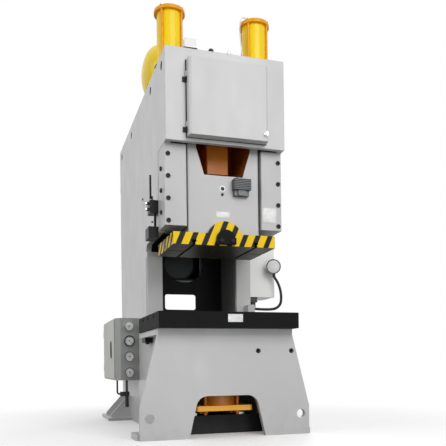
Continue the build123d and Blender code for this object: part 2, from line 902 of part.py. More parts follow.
def make_connecting_rod():
    """Connecting rod, its cap at the crankpin, the ball screw and the ball's seat."""
    pin_z = crank_z + throw
    front = slide_centre - crankpin_half + rod_side_gap
    back = slide_centre + crankpin_half - rod_side_gap
    eye = crankpin_radius + bush_gap + rod_eye_wall
    foot_top = rod_foot_bottom + rod_foot_high
    shank = Polygon(
        (-rod_shank_half, pin_z), (-rod_neck_half, foot_top), (rod_neck_half, foot_top),
        (rod_shank_half, pin_z), align=None,
    )
    shank += Pos(0, pin_z) * Circle(eye)
    rod = plate_y(shank, front + rod_shank_set_in, back - rod_shank_set_in)
    rod += bar_y(0, pin_z, eye, front, back)
    foot = block(
        -rod_foot_half, rod_foot_half, slide_centre - rod_foot_depth / 2, slide_centre + rod_foot_depth / 2,
        rod_foot_bottom, foot_top,
    )
    rod += fillet(foot.edges().filter_by(Axis.Z), rod_foot_corner)
    rod -= hole_y(0, pin_z, crankpin_radius + bush_gap, front, back)
    rod -= bar_z(0, slide_centre, screw_radius, rod_foot_bottom, ball_z + screw_long)
    socket_top = ball_z + ball_radius + ball_room
    rod -= bar_z(0, slide_centre, ball_radius + ball_room, rod_foot_bottom - hole_margin, socket_top)
    upper = block(-2 * eye, 2 * eye, front - hole_margin, back + hole_margin, pin_z, pin_z + 2 * eye)
    lug = block(
        eye - rod_eye_wall / 3, eye + rod_eye_wall / 2, front + rod_eye_wall, back - rod_eye_wall,
        pin_z, pin_z + rod_cap_lug,
    )
    parts["connecting_rod"] = rod - upper
    parts["connecting_rod_cap"] = (rod & upper) + both_sides(lug)
    screw = bar_z(0, slide_centre, screw_radius, ball_z, ball_z + screw_long)
    parts["ball_screw"] = Pos(0, slide_centre, ball_z) * Sphere(ball_radius) + screw
    seat_top = pocket_floor + seat_high
    parts["ball_seat"] = bar_z(0, slide_centre, ball_radius + seat_rim, pocket_floor, seat_top)


def make_flywheel():
    """Flywheel with belt rim, thin web with round holes and hub, and the clutch drum."""
    back = flywheel_front + flywheel_width
    wheel = bar_y(0, crank_z, flywheel_radius, flywheel_front, back)
    hollow = flywheel_radius - flywheel_rim
    side = (flywheel_width - flywheel_web) / 2
    for start in (flywheel_front - hole_margin, back - side):
        end = start + side + hole_margin
        wheel -= bar_y(0, crank_z, hollow, start, end)
        wheel += bar_y(0, crank_z, flywheel_hub, max(start, flywheel_front), min(end, back))
    wheel -= hole_y(0, crank_z, journal_radius + bush_gap, flywheel_front, back)
    reach = (hollow + flywheel_hub) / 2
    for number in range(flywheel_holes):
        angle = 2 * math.pi * number / flywheel_holes
        across, level = reach * math.sin(angle), crank_z + reach * math.cos(angle)
        wheel -= hole_y(across, level, flywheel_hole, flywheel_front, back)
    start = belt_start()
    groove = bar_y(0, crank_z, flywheel_radius + hole_margin, start, start + belt_width)
    groove -= bar_y(0, crank_z, flywheel_radius - belt_sunk, start, start + belt_width)
    parts["flywheel"] = wheel - groove
    clutch = bar_y(0, crank_z, clutch_radius, back + clutch_gap, back + clutch_width)
    clutch -= hole_y(0, crank_z, journal_radius, back, back + clutch_width)
    rim = clutch.edges().filter_by(GeomType.CIRCLE).sort_by(Axis.Y)[-2:].sort_by(SortBy.RADIUS)[-1:]
    parts["clutch_brake"] = chamfer(rim, clutch_chamfer)


def belt_start():
    """Depth at which the belts begin, in the middle of the flywheel's rim."""
    return flywheel_front + (flywheel_width - belt_width) / 2


def make_motor():
    """Main motor on its shelf, with pulley and belts up to the flywheel."""
    fins_start = motor_front + motor_fan_cover
    fins_end = motor_back - motor_end_cover
    core = motor_radius - motor_fin_high
    body = bar_y(motor_x, motor_z, core, fins_start, fins_end)
    for number in range(motor_fins):
        turned = Pos(motor_x, 0, motor_z) * Rot(0, 360 * number / motor_fins, 0)
        body += turned * block(
            -motor_fin_half, motor_fin_half, fins_start, fins_end, core - motor_fin_high, motor_radius
        )
    body += bar_y(motor_x, motor_z, motor_radius, fins_end, motor_back)
    fan_cover = bar_y(motor_x, motor_z, motor_radius + motor_fin_half, motor_front, fins_start)
    body += fillet(fan_cover.edges().filter_by(GeomType.CIRCLE).sort_by(Axis.Y)[:1], 0.4 * motor_fan_cover)
    body += block(
        motor_x - motor_foot_half, motor_x + motor_foot_half, motor_front + 2 * motor_fan_cover,
        motor_back - 2 * motor_end_cover, shelf_top, motor_z - 0.7 * motor_radius,
    )
    box_start = motor_front + 2 * motor_fan_cover
    body += block(
        motor_x, motor_x + motor_radius + motor_end_cover, box_start, box_start + motor_box_depth,
        motor_z + motor_box_high - motor_box_width, motor_z + motor_box_high,
    )
    parts["main_motor"] = body
    shelf_start = wall_y + wall_thick
    parts["motor_shelf"] = block(
        -inner_half, inner_half, shelf_start, motor_back + motor_end_cover, shelf_top - shelf_thick, shelf_top
    )
    start = belt_start()
    end = start + belt_width
    pulley = bar_y(motor_x, motor_z, pulley_radius + pulley_rim, start - pulley_side, end + pulley_side)
    groove = bar_y(motor_x, motor_z, pulley_radius + pulley_rim + hole_margin, start, end)
    pulley -= groove - bar_y(motor_x, motor_z, pulley_radius, start, end)
    pulley += bar_y(motor_x, motor_z, motor_shaft_radius, motor_back, end + 2 * pulley_side)
    parts["motor_pulley"] = pulley
    high_run = flywheel_radius - belt_sunk + guide_gap
    low_run = pulley_radius + guide_gap
    outer = capsule(crank_z, high_run + belt_thick, motor_z, low_run + belt_thick, motor_x)
    inner = capsule(crank_z, high_run, motor_z, low_run, motor_x)
    parts["drive_belts"] = plate_y(outer - inner, start + hole_margin, end - hole_margin)


def make_guard():
    """Sheet guard round the flywheel and belts at the back of the press."""
    big = flywheel_radius + guard_room
    small = pulley_radius + guard_pulley_room
    outer = capsule(crank_z, big + guard_wall, motor_z, small + guard_wall, motor_x)
    inner = capsule(crank_z, big, motor_z, small, motor_x)
    front = frame_depth
    back = front + guard_depth
    guard = plate_y(outer, front, back + guard_wall)
    guard -= plate_y(inner, front - hole_margin, back)
    above = block(-2 * big, 2 * big, front, front + guard_wall, head_top, crank_z + 2 * big)
    guard += plate_y(outer, front, front + guard_wall) & above
    for number in range(guard_slots):
        level = crank_z + (number - guard_slots // 2) * guard_slot_pitch
        slot = Pos(0, level) * SlotOverall(guard_slot_long, guard_slot_high)
        guard -= plate_y(slot, back - hole_margin, back + guard_wall + hole_margin)
    parts["flywheel_guard"] = guard


def make_balance_cylinders():
    """Two air cylinders on the head whose rods hold up the weight of the slide."""
    tube_start = head_top + balance_flange
    tube_end = tube_start + balance_tube_length
    bore = balance_tube_radius - balance_tube_wall
    tube = bar_z(balance_x, balance_y, balance_tube_radius, tube_start, tube_end)
    tube -= hole_z(balance_x, balance_y, bore, tube_start, tube_end)
    base = bar_z(balance_x, balance_y, balance_flange_radius, head_top, tube_start)
    base -= hole_z(balance_x, balance_y, piston_rod_radius + hole_margin, head_top, tube_start)
    parts["balance_cylinders"] = both_sides(tube + base)
    cap = bar_z(balance_x, balance_y, balance_flange_radius, tube_end, tube_end + balance_flange)
    cap = fillet(cap.edges().filter_by(GeomType.CIRCLE).sort_by(Axis.Z)[-1:], balance_flange / 5)
    rods = Part()
    for number in range(tie_rods):
        angle = 2 * math.pi * (number + 0.5) / tie_rods
        across = balance_x + tie_rod_circle * math.cos(angle)
        depth = balance_y + tie_rod_circle * math.sin(angle)
        rods += bar_z(across, depth, tie_rod_radius, tube_start, tube_end)
    parts["balance_caps"] = both_sides(cap) + both_sides(rods)
    piston_top = tube_end - piston_top_gap
    piston_low = piston_top - piston_thick
    nut_top = slide_top - ear_thick
    nut_low = nut_top - rod_nut_high
    piston = bar_z(balance_x, balance_y, bore - guide_gap, piston_low, piston_top)
    piston += bar_z(balance_x, balance_y, piston_rod_radius, nut_low, piston_low)
    nut = plate_z(Pos(balance_x, balance_y) * hexagon(rod_nut_radius), nut_low, nut_top)
    nut -= hole_z(balance_x, balance_y, piston_rod_radius, nut_low, nut_top)
    parts["balance_pistons"] = both_sides(piston) + both_sides(nut)


def make_tank():
    """Air tank with dished ends across the top of the head, on two saddles."""
    level = head_top + tank_lift + tank_radius
    axis_line = Line((0, 0), (tank_half + tank_dish, 0))
    dish = EllipticalCenterArc((tank_half, 0), tank_dish, tank_radius, start_angle=0, arc_size=90)
    top = Line((tank_half, tank_radius), (0, tank_radius))
    side = Line((0, tank_radius), (0, 0))
    half = revolve(make_face([axis_line, dish, top, side]), Axis.X)
    tank = half + mirror(half, Plane.YZ)
    saddle_end = saddle_x + saddle_thick
    saddle = block(
        saddle_x, saddle_end, tank_y - saddle_half_depth, tank_y + saddle_half_depth, head_top,
        level - tank_radius / 2,
    )
    saddle -= hole_x(tank_y, level, tank_radius, saddle_x, saddle_end)
    parts["air_tank"] = Pos(0, tank_y, level) * tank + both_sides(saddle)


def make_cover():
    """Deep front cover of the head, hinged on the left, with its turning latch."""
    front = -cover_gap - cover_depth
    shell = block(-cover_half, cover_half, front, -cover_gap, cover_bottom, cover_top)
    shell = fillet(shell.edges().filter_by(Axis.Z).sort_by(Axis.Y)[:2], cover_corner)
    hollow = block(
        cover_wall - cover_half, cover_half - cover_wall, front + cover_wall, 0,
        cover_bottom + cover_wall, cover_top - cover_wall,
    )
    shell -= fillet(hollow.edges().filter_by(Axis.Z).sort_by(Axis.Y)[:2], cover_corner - cover_wall)
    axis_x = -cover_half - hinge_side
    posts = Part()
    leaves = Part()
    for level in hinge_levels:
        low, high = level - hinge_high / 2, level + hinge_high / 2
        post_top = level - seat_gap
        posts += bar_z(axis_x, -hinge_front, hinge_radius, low, post_top)
        posts += block(axis_x - hinge_radius, axis_x + hinge_radius, -hinge_front, 0, low, post_top)
        posts += block(axis_x - hinge_leaf, axis_x, -hinge_leaf_thick, 0, low, post_top)
        leaves += bar_z(axis_x, -hinge_front, hinge_radius, level, high)
        leaves += block(
            axis_x, cover_wall / 2 - cover_half, -hinge_front - hinge_radius, hinge_radius - hinge_front,
            level, high,
        )
    parts["cover_hinge_posts"] = posts
    parts["head_cover"] = shell + leaves
    plate_front = front - latch_plate
    latch = bar_y(latch_x, latch_z, latch_radius, plate_front, front)
    latch += block(
        latch_x - latch_grip_half, latch_x + latch_grip_half, plate_front - latch_grip, plate_front,
        latch_z - latch_radius, latch_z + latch_radius,
    )
    parts["cover_latch"] = latch


def make_air_cabinet():
    """Air control cabinet: bevelled shell with its hinge pins."""
    left = -half_width - air_width
    top = air_bottom + air_high
    back = air_front + air_depth
    outline = Polygon(
        (-half_width, air_front), (left + air_bevel, air_front), (left, air_front + air_bevel),
        (left, back), (-half_width, back), align=None,
    )
    inside = offset(outline, -air_wall, kind=Kind.INTERSECTION)
    shell = plate_z(outline, air_bottom, top) - plate_z(inside, air_bottom + air_wall, top - air_wall)
    low, high = air_bottom + air_door_margin, top - air_door_margin
    mouth_start, mouth_end = air_front + air_bevel + air_door_gap, back - air_door_gap
    shell -= block(left - hole_margin, left + air_wall + hole_margin, mouth_start, mouth_end, low, high)
    door_start, door_end = mouth_start - air_door_lap, mouth_end + air_door_lap
    face = left - air_door_thick
    door = block(face, left - seat_gap, door_start, door_end, low - air_door_lap, high + air_door_lap)
    handle_y = mouth_start + air_handle_from_edge
    middle = (low + high) / 2
    door -= block(
        face - hole_margin, face + air_door_lift, handle_y - air_handle_half, handle_y + air_handle_half,
        middle - air_handle_high, middle + air_handle_high,
    )
    grip = block(
        face - air_door_thick, face + air_door_lift, handle_y - air_grip_half, handle_y + air_grip_half,
        middle - air_grip_high, middle + air_grip_high,
    )
    door += fillet(grip.edges().filter_by(Axis.Z), air_door_lift)
    hinge_x = left - seat_gap - air_hinge_radius
    hinge_y = mouth_end + air_hinge_from_mouth
    for level in (low + air_hinge_inset, high - air_hinge_inset):
        pin_low, pin_top = level - air_hinge_half, level - seat_gap
        shell += bar_z(hinge_x, hinge_y, air_hinge_radius, pin_low, pin_top)
        shell += block(
            hinge_x, left + hole_margin, hinge_y - air_hinge_radius, hinge_y + air_hinge_radius,
            pin_low, pin_top,
        )
        door += bar_z(hinge_x, hinge_y, air_hinge_radius, level, level + air_hinge_half)
        door += block(face, left - seat_gap, door_end - hole_margin, hinge_y, level, level + air_hinge_half)
    parts["air_cabinet_door"] = door
    parts["air_cabinet"] = shell


def make_air_fittings():
    """Four gauges on the air cabinet, and its filter and hose below."""
    gauges = Part()
    centre = -half_width - (air_width - air_bevel) / 2 - gauge_rim
    start = air_front - gauge_deep
    for level in gauge_levels:
        gauges += bar_y(centre, level, gauge_radius, start, air_front)
        gauges -= bar_y(centre, level, gauge_radius - gauge_rim, start - hole_margin, start + gauge_rim)
    parts["pressure_gauges"] = gauges
    pipe_x, pipe_y = -half_width - filter_x, air_front + filter_y
    block_left, block_right = pipe_x - filter_block_left, pipe_x + filter_block_right
    block_top = filter_block_bottom + filter_block_high
    unit = block(
        block_left, block_right, pipe_y - filter_block_half, pipe_y + filter_block_half,
        filter_block_bottom, block_top,
    )
    unit = fillet(unit.edges().filter_by(Axis.Z), filter_block_corner)
    unit += bar_z(pipe_x, pipe_y, filter_pipe_radius, block_top, air_bottom)
    unit += bar_z(pipe_x, pipe_y, filter_bowl_radius, filter_low, filter_block_bottom)
    parts["air_service_unit"] = unit
    hose_x = block_left - air_hose_out
    hose_z = filter_block_bottom + filter_block_high / 2
    path = FilletPolyline(
        (hose_x, pipe_y, air_bottom), (hose_x, pipe_y, hose_z), (block_left, pipe_y, hose_z),
        radius=air_hose_bend,
    )
    parts["air_hose"] = sweep(Plane(path @ 0, z_dir=path % 0) * Circle(air_hose_radius), path=path)


def make_electric_cabinet():
    """Electric cabinet on the right side plate, with its side door and handle."""
    left, right = half_width, half_width + box_width
    top = box_bottom + box_high
    back = box_front + box_depth
    shell = block(left, right, box_front, back, box_bottom, top)
    shell -= block(
        left + box_wall, right + hole_margin, box_front + box_wall, back - box_wall,
        box_bottom + box_wall, top - box_wall,
    )
    hinge_x, hinge_y = right + box_hinge_out, back + box_hinge_out
    face = right + box_door
    low, high = box_bottom + box_door_margin, top - box_door_margin
    door_start, door_end = box_front + box_door_margin, back - box_door_margin
    door = block(right + seat_gap, face, door_start, door_end, low, high)
    door -= block(
        right, face - box_door_wall, door_start + box_door_wall, door_end - box_door_wall,
        low + box_door_wall, high - box_door_wall,
    )
    pins = Part()
    for level in (box_bottom + box_hinge_inset, top - box_hinge_inset):
        pin_top = level - seat_gap
        pins += bar_z(hinge_x, hinge_y, box_hinge_radius, level - box_hinge_half, pin_top)
        pins += block(
            hinge_x - box_hinge_leaf, hinge_x, back + seat_gap, hinge_y, level - box_hinge_half, pin_top
        )
        door += bar_z(hinge_x, hinge_y, box_hinge_radius, level, level + box_hinge_half)
        door += block(
            hinge_x - box_hinge_radius / 2, hinge_x + box_hinge_radius, door_end - box_door_wall, hinge_y,
            level, level + box_hinge_half,
        )
    parts["electric_cabinet_door"] = door
    handle_y = door_start + box_handle_inset
    middle = (low + high) / 2
    neck = face + box_handle_neck
    handle = bar_x(handle_y, middle, box_handle_radius, face, neck)
    handle += block(
        neck, neck + box_handle_grip, handle_y - box_handle_half, handle_y + box_handle_half,
        middle - box_handle_long, middle + box_handle_radius,
    )
    parts["electric_door_handle"] = handle
    plug_x = left + connector_x
    plug_y = box_front + connector_x
    plug_low = box_bottom - connector_high
    plug = block(
        plug_x, plug_x + connector_width, plug_y, plug_y + connector_depth, plug_low, box_bottom - seat_gap
    )
    plug += bar_z(
        plug_x + connector_width / 2, plug_y + connector_depth / 2, connector_neck_radius,
        plug_low - connector_neck, plug_low,
    )
    parts["electric_cabinet"] = shell + pins + plug


def lamp_arm_path():
    """Points of the lamp's arm, from its foot on the right column to the knuckle."""
    points = [(half_width + lamp_foot_out, lamp_arm_y, lamp_arm_z)]
    for out, back, up in lamp_arm_points:
        points.append((half_width + out, lamp_arm_y + back, lamp_arm_z + up))
    return points


def make_lamp():
    """Work lamp that swivels on a bent arm fixed to the right column."""
    points = lamp_arm_path()
    foot = block(
        half_width - lamp_foot_reach, half_width + lamp_foot_out, lamp_foot_front, throat_back,
        lamp_arm_z - lamp_foot_half, lamp_arm_z + lamp_foot_half,
    )
    foot = fillet(foot.edges().filter_by(Axis.Y), lamp_foot_corner)
    end_x, end_y, end_z = points[-1]
    tube_end = (end_x, end_y, end_z - lamp_knuckle_socket / 3)
    path = FilletPolyline(*points[:-1], tube_end, radius=list(lamp_arm_radii))
    arm = sweep(Plane(path @ 0, z_dir=path % 0) * Circle(lamp_hose_radius), path=path)
    socket = bar_z(end_x, end_y, lamp_knuckle_radius, end_z - lamp_knuckle_socket, end_z)
    parts["lamp_arm"] = foot + arm + socket

    knuckle_low = end_z + seat_gap
    knuckle = bar_z(end_x, end_y, lamp_knuckle_radius, knuckle_low, knuckle_low + lamp_knuckle_high)
    back_radius = lamp_radius * lamp_back_share
    shade = Cone(back_radius, lamp_radius, lamp_deep)
    shade -= Pos(0, 0, lamp_wall) * Cone(back_radius - lamp_wall, lamp_radius - lamp_wall, lamp_deep)
    bulb = Pos(0, 0, -0.15 * lamp_deep) * Cylinder(0.4 * lamp_radius, 0.6 * lamp_deep)
    turned = Rot(0, 0, lamp_turn) * Rot(lamp_tilt, 0, 0)
    place = Pos(end_x + lamp_shade_side, end_y + lamp_shade_front, knuckle_low + lamp_shade_lift)
    inside = place * turned * Pos(0, 0, lamp_wall) * Cone(
        back_radius - lamp_wall, lamp_radius - lamp_wall, lamp_deep
    )
    parts["lamp_head"] = place * turned * (shade + bulb) + (knuckle - inside)


def make_pump():
    """Hand pump with its lever and oil reservoir on the left side plate."""
    left = -half_width - pump_width
    top = pump_bottom + pump_high
    pump = block(left, -half_width, gib_seat, gib_seat + pump_deep, pump_bottom, top)
    pump = fillet(pump.edges().filter_by(Axis.Z), pump_corner)
    for level in pump_unions_z:
        pump += bar_x(
            gib_seat + pump_union_y, pump_bottom + level, pump_union_radius, left - pump_union_long,
            left + pump_corner,
        )
    pivot_y = gib_seat + pump_pivot_y
    pivot_z = top + pump_pivot_lug
    pivot_low = left + pump_pivot_x - pump_pivot_half
    pivot_high = left + pump_pivot_x + pump_pivot_half
    lever = bar_z(left + pump_pivot_x, pivot_y, lever_radius, pivot_z, top + lever_long)
    parts["pump_lever"] = lever + bar_x(pivot_y, pivot_z, pump_union_radius, pivot_low, pivot_high)
    lug_start = pivot_high + seat_gap
    pump += block(
        lug_start, lug_start + pump_pivot_x, pivot_y - pump_union_radius, pivot_y + pump_union_radius,
        top - hole_margin, pivot_z + pump_union_radius,
    )
    reservoir_top = reservoir_bottom + reservoir_high
    reservoir = block(
        -half_width - reservoir_width, -half_width, gib_seat, gib_seat + reservoir_deep,
        reservoir_bottom, reservoir_top,
    )
    parts["oil_reservoir"] = fillet(reservoir.edges().filter_by(Axis.Z), reservoir_corner)
    pipe_x, pipe_y = -half_width - pump_pipe_x, gib_seat + pump_pipe_y
    parts["hand_pump"] = pump + bar_z(pipe_x, pipe_y, pump_pipe_radius, reservoir_top, pump_bottom)


def make_cushion():
    """Die cushion hung under the bed: plate, cylinder, tie rods, piston and pad."""
    plate = block(
        -cushion_plate_half, cushion_plate_half, cushion_y - cushion_plate_deep / 2,
        cushion_y + cushion_plate_deep / 2, cushion_plate_bottom, cushion_plate_top,
    )
    plate = fillet(plate.edges().filter_by(Axis.Z), cushion_plate_corner)
    nut_low = cushion_plate_bottom - nut_high
    rods = Part()
    for across in (-cushion_rod_x, cushion_rod_x):
        for depth in (cushion_y - cushion_rod_y, cushion_y + cushion_rod_y):
            plate -= hole_z(across, depth, cushion_rod_radius, cushion_plate_bottom, cushion_plate_top)
            rods += bar_z(across, depth, cushion_rod_radius, nut_low - cushion_rod_end, bed_under)
            nut = plate_z(Pos(across, depth) * hexagon(nut_radius), nut_low, cushion_plate_bottom)
            rods += nut - hole_z(across, depth, cushion_rod_radius, nut_low, cushion_plate_bottom)
    parts["cushion_plate"] = plate
    parts["cushion_tie_rods"] = rods
    drum_top = cushion_pad_low - cushion_drum_gap
    bore = cushion_radius - cushion_wall
    floor = cushion_plate_top + cushion_floor
    drum = bar_z(0, cushion_y, cushion_radius, cushion_plate_top, drum_top)
    parts["cushion_cylinder"] = drum - bar_z(0, cushion_y, bore, floor, drum_top + hole_margin)
    piston_low = floor + seat_gap
    piston = bar_z(0, cushion_y, bore - guide_gap, piston_low, piston_low + cushion_piston)
    piston += bar_z(0, cushion_y, cushion_piston_rod, piston_low + cushion_piston, cushion_pad_low)
    pad = bar_z(
        0, cushion_y, cushion_radius - cushion_pad_inset, cushion_pad_low, cushion_pad_low + cushion_pad
    )
    parts["cushion_pad"] = fillet(pad.edges().filter_by(GeomType.CIRCLE), cushion_pad / 9) + piston


def make_fittings():
    """Small fittings on top of the head and the air valve below the bolster."""
    box_back = head_box_front + head_box_depth
    foot_top = head_top + head_box_foot
    low_x, high_x = head_box_x - head_box_half, head_box_x + head_box_half
    small_box = block(low_x, high_x, head_box_front, box_back, foot_top, foot_top + head_box_high)
    small_box += block(
        low_x - head_box_lap, high_x + head_box_lap, 0, box_back + head_box_lap, head_top, foot_top
    )
    dome = bar_z(dome_x, dome_y, dome_radius, head_top, head_top + dome_high)
    dome = fillet(dome.edges().filter_by(GeomType.CIRCLE).sort_by(Axis.Z)[-1:], dome_edge)
    parts["top_fittings"] = small_box + dome
    valve_back = valve_front + valve_depth
    valve_low = valve_top - valve_high
    port_x = -half_width - valve_width / 2
    port_y = (valve_front + valve_back) / 2
    valve = block(-half_width - valve_width, -half_width, valve_front, valve_back, valve_low, valve_top)
    valve += bar_z(port_x, port_y, valve_port_radius, valve_low - valve_port_high, valve_low)
    parts["bed_air_valve"] = valve


def write_parts():
    """Move every piece to the anchor origin and write it."""
    os.makedirs("parts", exist_ok=True)
    for name, part in parts.items():
        export_step(Pos(0, -anchor_centre, 0) * part, f"parts/{name}.step")
    print(len(parts), "pieces written")


make_side_plates()
make_base()
make_feet()
make_columns()
make_walls()
make_bearings()
make_bolster()
make_guides()
make_slide()
make_flange()
make_slide_motor()
make_crankshaft()
make_connecting_rod()
make_flywheel()
make_motor()
make_guard()
make_balance_cylinders()
make_tank()
make_cover()
make_air_cabinet()
make_air_fittings()
make_electric_cabinet()
make_lamp()
make_pump()
make_cushion()
make_fittings()
write_parts()
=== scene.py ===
import json
import logging
import math
from dataclasses import dataclass
from enum import Enum
from typing import ClassVar, Sequence

import bmesh
import bpy
from mathutils import Euler, Matrix, Vector

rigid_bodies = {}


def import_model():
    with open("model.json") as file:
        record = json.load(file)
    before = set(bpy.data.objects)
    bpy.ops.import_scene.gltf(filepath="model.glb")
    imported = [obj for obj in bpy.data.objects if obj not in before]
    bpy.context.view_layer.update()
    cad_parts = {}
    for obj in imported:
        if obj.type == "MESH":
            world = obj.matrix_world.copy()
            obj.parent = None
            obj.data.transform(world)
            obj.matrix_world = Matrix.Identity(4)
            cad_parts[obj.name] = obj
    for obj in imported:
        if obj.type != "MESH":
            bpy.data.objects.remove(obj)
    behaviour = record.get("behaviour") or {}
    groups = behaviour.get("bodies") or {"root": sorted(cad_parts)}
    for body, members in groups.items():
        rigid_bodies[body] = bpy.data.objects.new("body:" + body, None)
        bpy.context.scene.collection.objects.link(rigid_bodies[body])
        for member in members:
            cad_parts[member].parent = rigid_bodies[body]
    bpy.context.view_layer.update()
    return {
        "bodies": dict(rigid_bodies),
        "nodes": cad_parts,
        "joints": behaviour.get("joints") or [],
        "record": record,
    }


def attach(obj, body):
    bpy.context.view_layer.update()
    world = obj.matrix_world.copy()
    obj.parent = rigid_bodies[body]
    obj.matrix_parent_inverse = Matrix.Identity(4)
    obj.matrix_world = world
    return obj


# Open-front mechanical stamping press. Sizes are in millimetres of the press drawing:
# X from the middle, Y back from the front face of the head, Z up from the floor.
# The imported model's origin lies between the four anchor bolts, ANCHOR_DEPTH behind the head's face.

LOG = logging.getLogger("press")
ANCHOR_DEPTH = 1150.0
MM = 0.001
ORIGIN = (0.0, 0.0, 0.0)
WHITE = (1.0, 1.0, 1.0, 1.0)
SHARP_ANGLE = math.radians(35)
PAINT_EDGE = 0.003
METAL_EDGE = 0.0015
PLASTIC_EDGE = 0.001

Point = tuple[float, float, float]
Outline = Sequence[tuple[float, float]]
Socket = bpy.types.NodeSocket
Value = Socket | float | str | Sequence[float]


def at(x: float, y: float, z: float) -> Vector:
    """A point of the press drawing, given in its millimetres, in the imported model's metres."""
    return Vector((x, y - ANCHOR_DEPTH, z)) * MM


def colour_of(code: str) -> tuple[float, float, float, float]:
    """A written screen colour as the linear colour that a shader takes.

    Args:
        code: Six hexadecimal digits after a hash sign.

    Returns:
        Linear red, green, blue and full opacity.
    """
    parts = [int(code[start:start + 2], 16) / 255 for start in (1, 3, 5)]
    linear = [part / 12.92 if part <= 0.04045 else ((part + 0.055) / 1.055) ** 2.4 for part in parts]
    return (linear[0], linear[1], linear[2], 1.0)


def on_circle(count: int, radius: float, first: float, step: float) -> list[tuple[float, float]]:
    """Sine and cosine parts of points on a circle, from a first angle by a step in degrees."""
    angles = [math.radians(first + step * number) for number in range(count)]
    return [(radius * math.sin(angle), radius * math.cos(angle)) for angle in angles]


class Facing(Enum):
    """Which way a turned or flat piece faces."""

    RIGHT = (1, 0, 0)
    LEFT = (-1, 0, 0)
    BACK = (0, 1, 0)
    FRONT = (0, -1, 0)
    UP = (0, 0, 1)

    def turn(self) -> Matrix:
        """Rotation that brings the upright direction to this one."""
        return Vector((0, 0, 1)).rotation_difference(Vector(self.value)).to_matrix().to_4x4()


# Finishes


class Nodes:
    """A node tree being filled."""

    def __init__(self, tree: bpy.types.NodeTree) -> None:
        """Keep a tree's nodes and links."""
        self.nodes, self.links = tree.nodes, tree.links

    def join(self, socket: Socket, value: Value) -> None:
        """Link an input to an output socket, or fill it with a plain value.

        Args:
            socket: The input.
            value: Output socket or plain value.
        """
        if isinstance(value, Socket):
            self.links.new(value, socket)
        else:
            socket.default_value = value

    def put(self, kind: str, inputs: dict[str | int, Value] | None = None, **settings: object) -> bpy.types.Node:
        """Add a node, set it and join or fill its inputs.

        Args:
            kind: Blender's name of the node.
            inputs: Values or output sockets by input name or number.
            **settings: Properties of the node.

        Returns:
            The new node.
        """
        node = self.nodes.new(kind)
        for key, value in settings.items():
            setattr(node, key, value)
        for key, value in (inputs or {}).items():
            self.join(node.inputs[key], value)
        return node

    def math(self, what: str, first: Value, second: Value = 0.0) -> Socket:
        """Output socket of arithmetic, by Blender's name for it, on two values or sockets."""
        return self.put("ShaderNodeMath", {0: first, 1: second}, operation=what).outputs[0]

    def direct_rays(self) -> Socket:
        """Whether a ray shows the thing itself: a camera, glossy or transmission ray.

        Returns:
            The output socket, 1 for such a ray.
        """
        path = self.put("ShaderNodeLightPath").outputs
        either = self.math("MAXIMUM", path["Is Camera Ray"], path["Is Glossy Ray"])
        return self.math("MAXIMUM", either, path["Is Transmission Ray"])


class Shader(Nodes):
    """The node tree of one material."""

    def __init__(self, name: str) -> None:
        """Start an empty tree with a principled shader and its output.

        Args:
            name: Name of the material.
        """
        self.material = bpy.data.materials.new(name)
        self.material.use_nodes = True
        super().__init__(self.material.node_tree)
        self.nodes.clear()
        self.out = self.put("ShaderNodeOutputMaterial")
        self.surface = self.put("ShaderNodeBsdfPrincipled")
        self.join(self.out.inputs[0], self.surface.outputs[0])
        self.place = self.put("ShaderNodeTexCoord").outputs["Object"]

    def split(self, vector: Socket | None = None) -> bpy.types.bpy_prop_collection:
        """Output sockets X, Y and Z of a vector, which is the spot on the piece if left out."""
        return self.put("ShaderNodeSeparateXYZ", {0: vector or self.place}).outputs

    def noise(self, scale: float, detail: float = 3.0, stretch: Point = (1, 1, 1), rough: float = 0.5) -> Socket:
        """Noise over the piece's own coordinates.

        Args:
            scale: Grains per metre.
            detail: Octaves of the noise.
            stretch: Scale of each axis before the noise.
            rough: How strong the finer octaves are.

        Returns:
            The output socket of the noise.
        """
        spot = self.put("ShaderNodeMapping", {"Vector": self.place, "Scale": stretch}).outputs[0]
        inputs = {"Vector": spot, "Scale": scale, "Detail": detail, "Roughness": rough}
        return self.put("ShaderNodeTexNoise", inputs).outputs["Fac"]

    def span(self, value: Value, low: float, high: float, to_low: float = 0.0, to_high: float = 1.0) -> Socket:
        """Output socket of a value stretched from one range to another and clamped."""
        inputs = {"Value": value, 1: low, 2: high, 3: to_low, 4: to_high}
        return self.put("ShaderNodeMapRange", inputs).outputs["Result"]

    def blend(self, share: Value, first: Value, second: Value, how: str = "MIX") -> Socket:
        """Output socket of two colours mixed, by the share of the second and Blender's name of the way."""
        inputs = {0: share, 6: first, 7: second}
        return self.put("ShaderNodeMix", inputs, data_type="RGBA", blend_type=how, clamp_factor=True).outputs[2]

    def edges(self, radius: float) -> tuple[Socket, Socket]:
        """Rounded edges: their soft normal and a mask that is 1 on them.

        Args:
            radius: Radius of the rounding in metres.

        Returns:
            Output sockets of the normal and of the mask.
        """
        soft = self.put("ShaderNodeBevel", {"Radius": radius}, samples=4).outputs[0]
        flat = self.put("ShaderNodeNewGeometry").outputs["Normal"]
        dot = self.put("ShaderNodeVectorMath", {0: soft, 1: flat}, operation="DOT_PRODUCT").outputs["Value"]
        return soft, self.span(dot, 0.97, 0.8)

    def bump(self, height: Socket, strength: float, distance: float, normal: Socket | None = None) -> None:
        """Raise the surface by a height and join it to the shader.

        Args:
            height: Output socket of the height.
            strength: Strength of the effect.
            distance: Height in metres of a full step.
            normal: Output socket of the normal beneath.
        """
        inputs = {"Height": height, "Strength": strength, "Distance": distance}
        if normal is not None:
            inputs["Normal"] = normal
        self.fill(Normal=self.put("ShaderNodeBump", inputs).outputs[0])

    def fill(self, **inputs: Value) -> None:
        """Set or join inputs of the principled shader, underscores in their names standing for spaces."""
        for key, value in inputs.items():
            self.join(self.surface.inputs[key.replace("_", " ")], value)


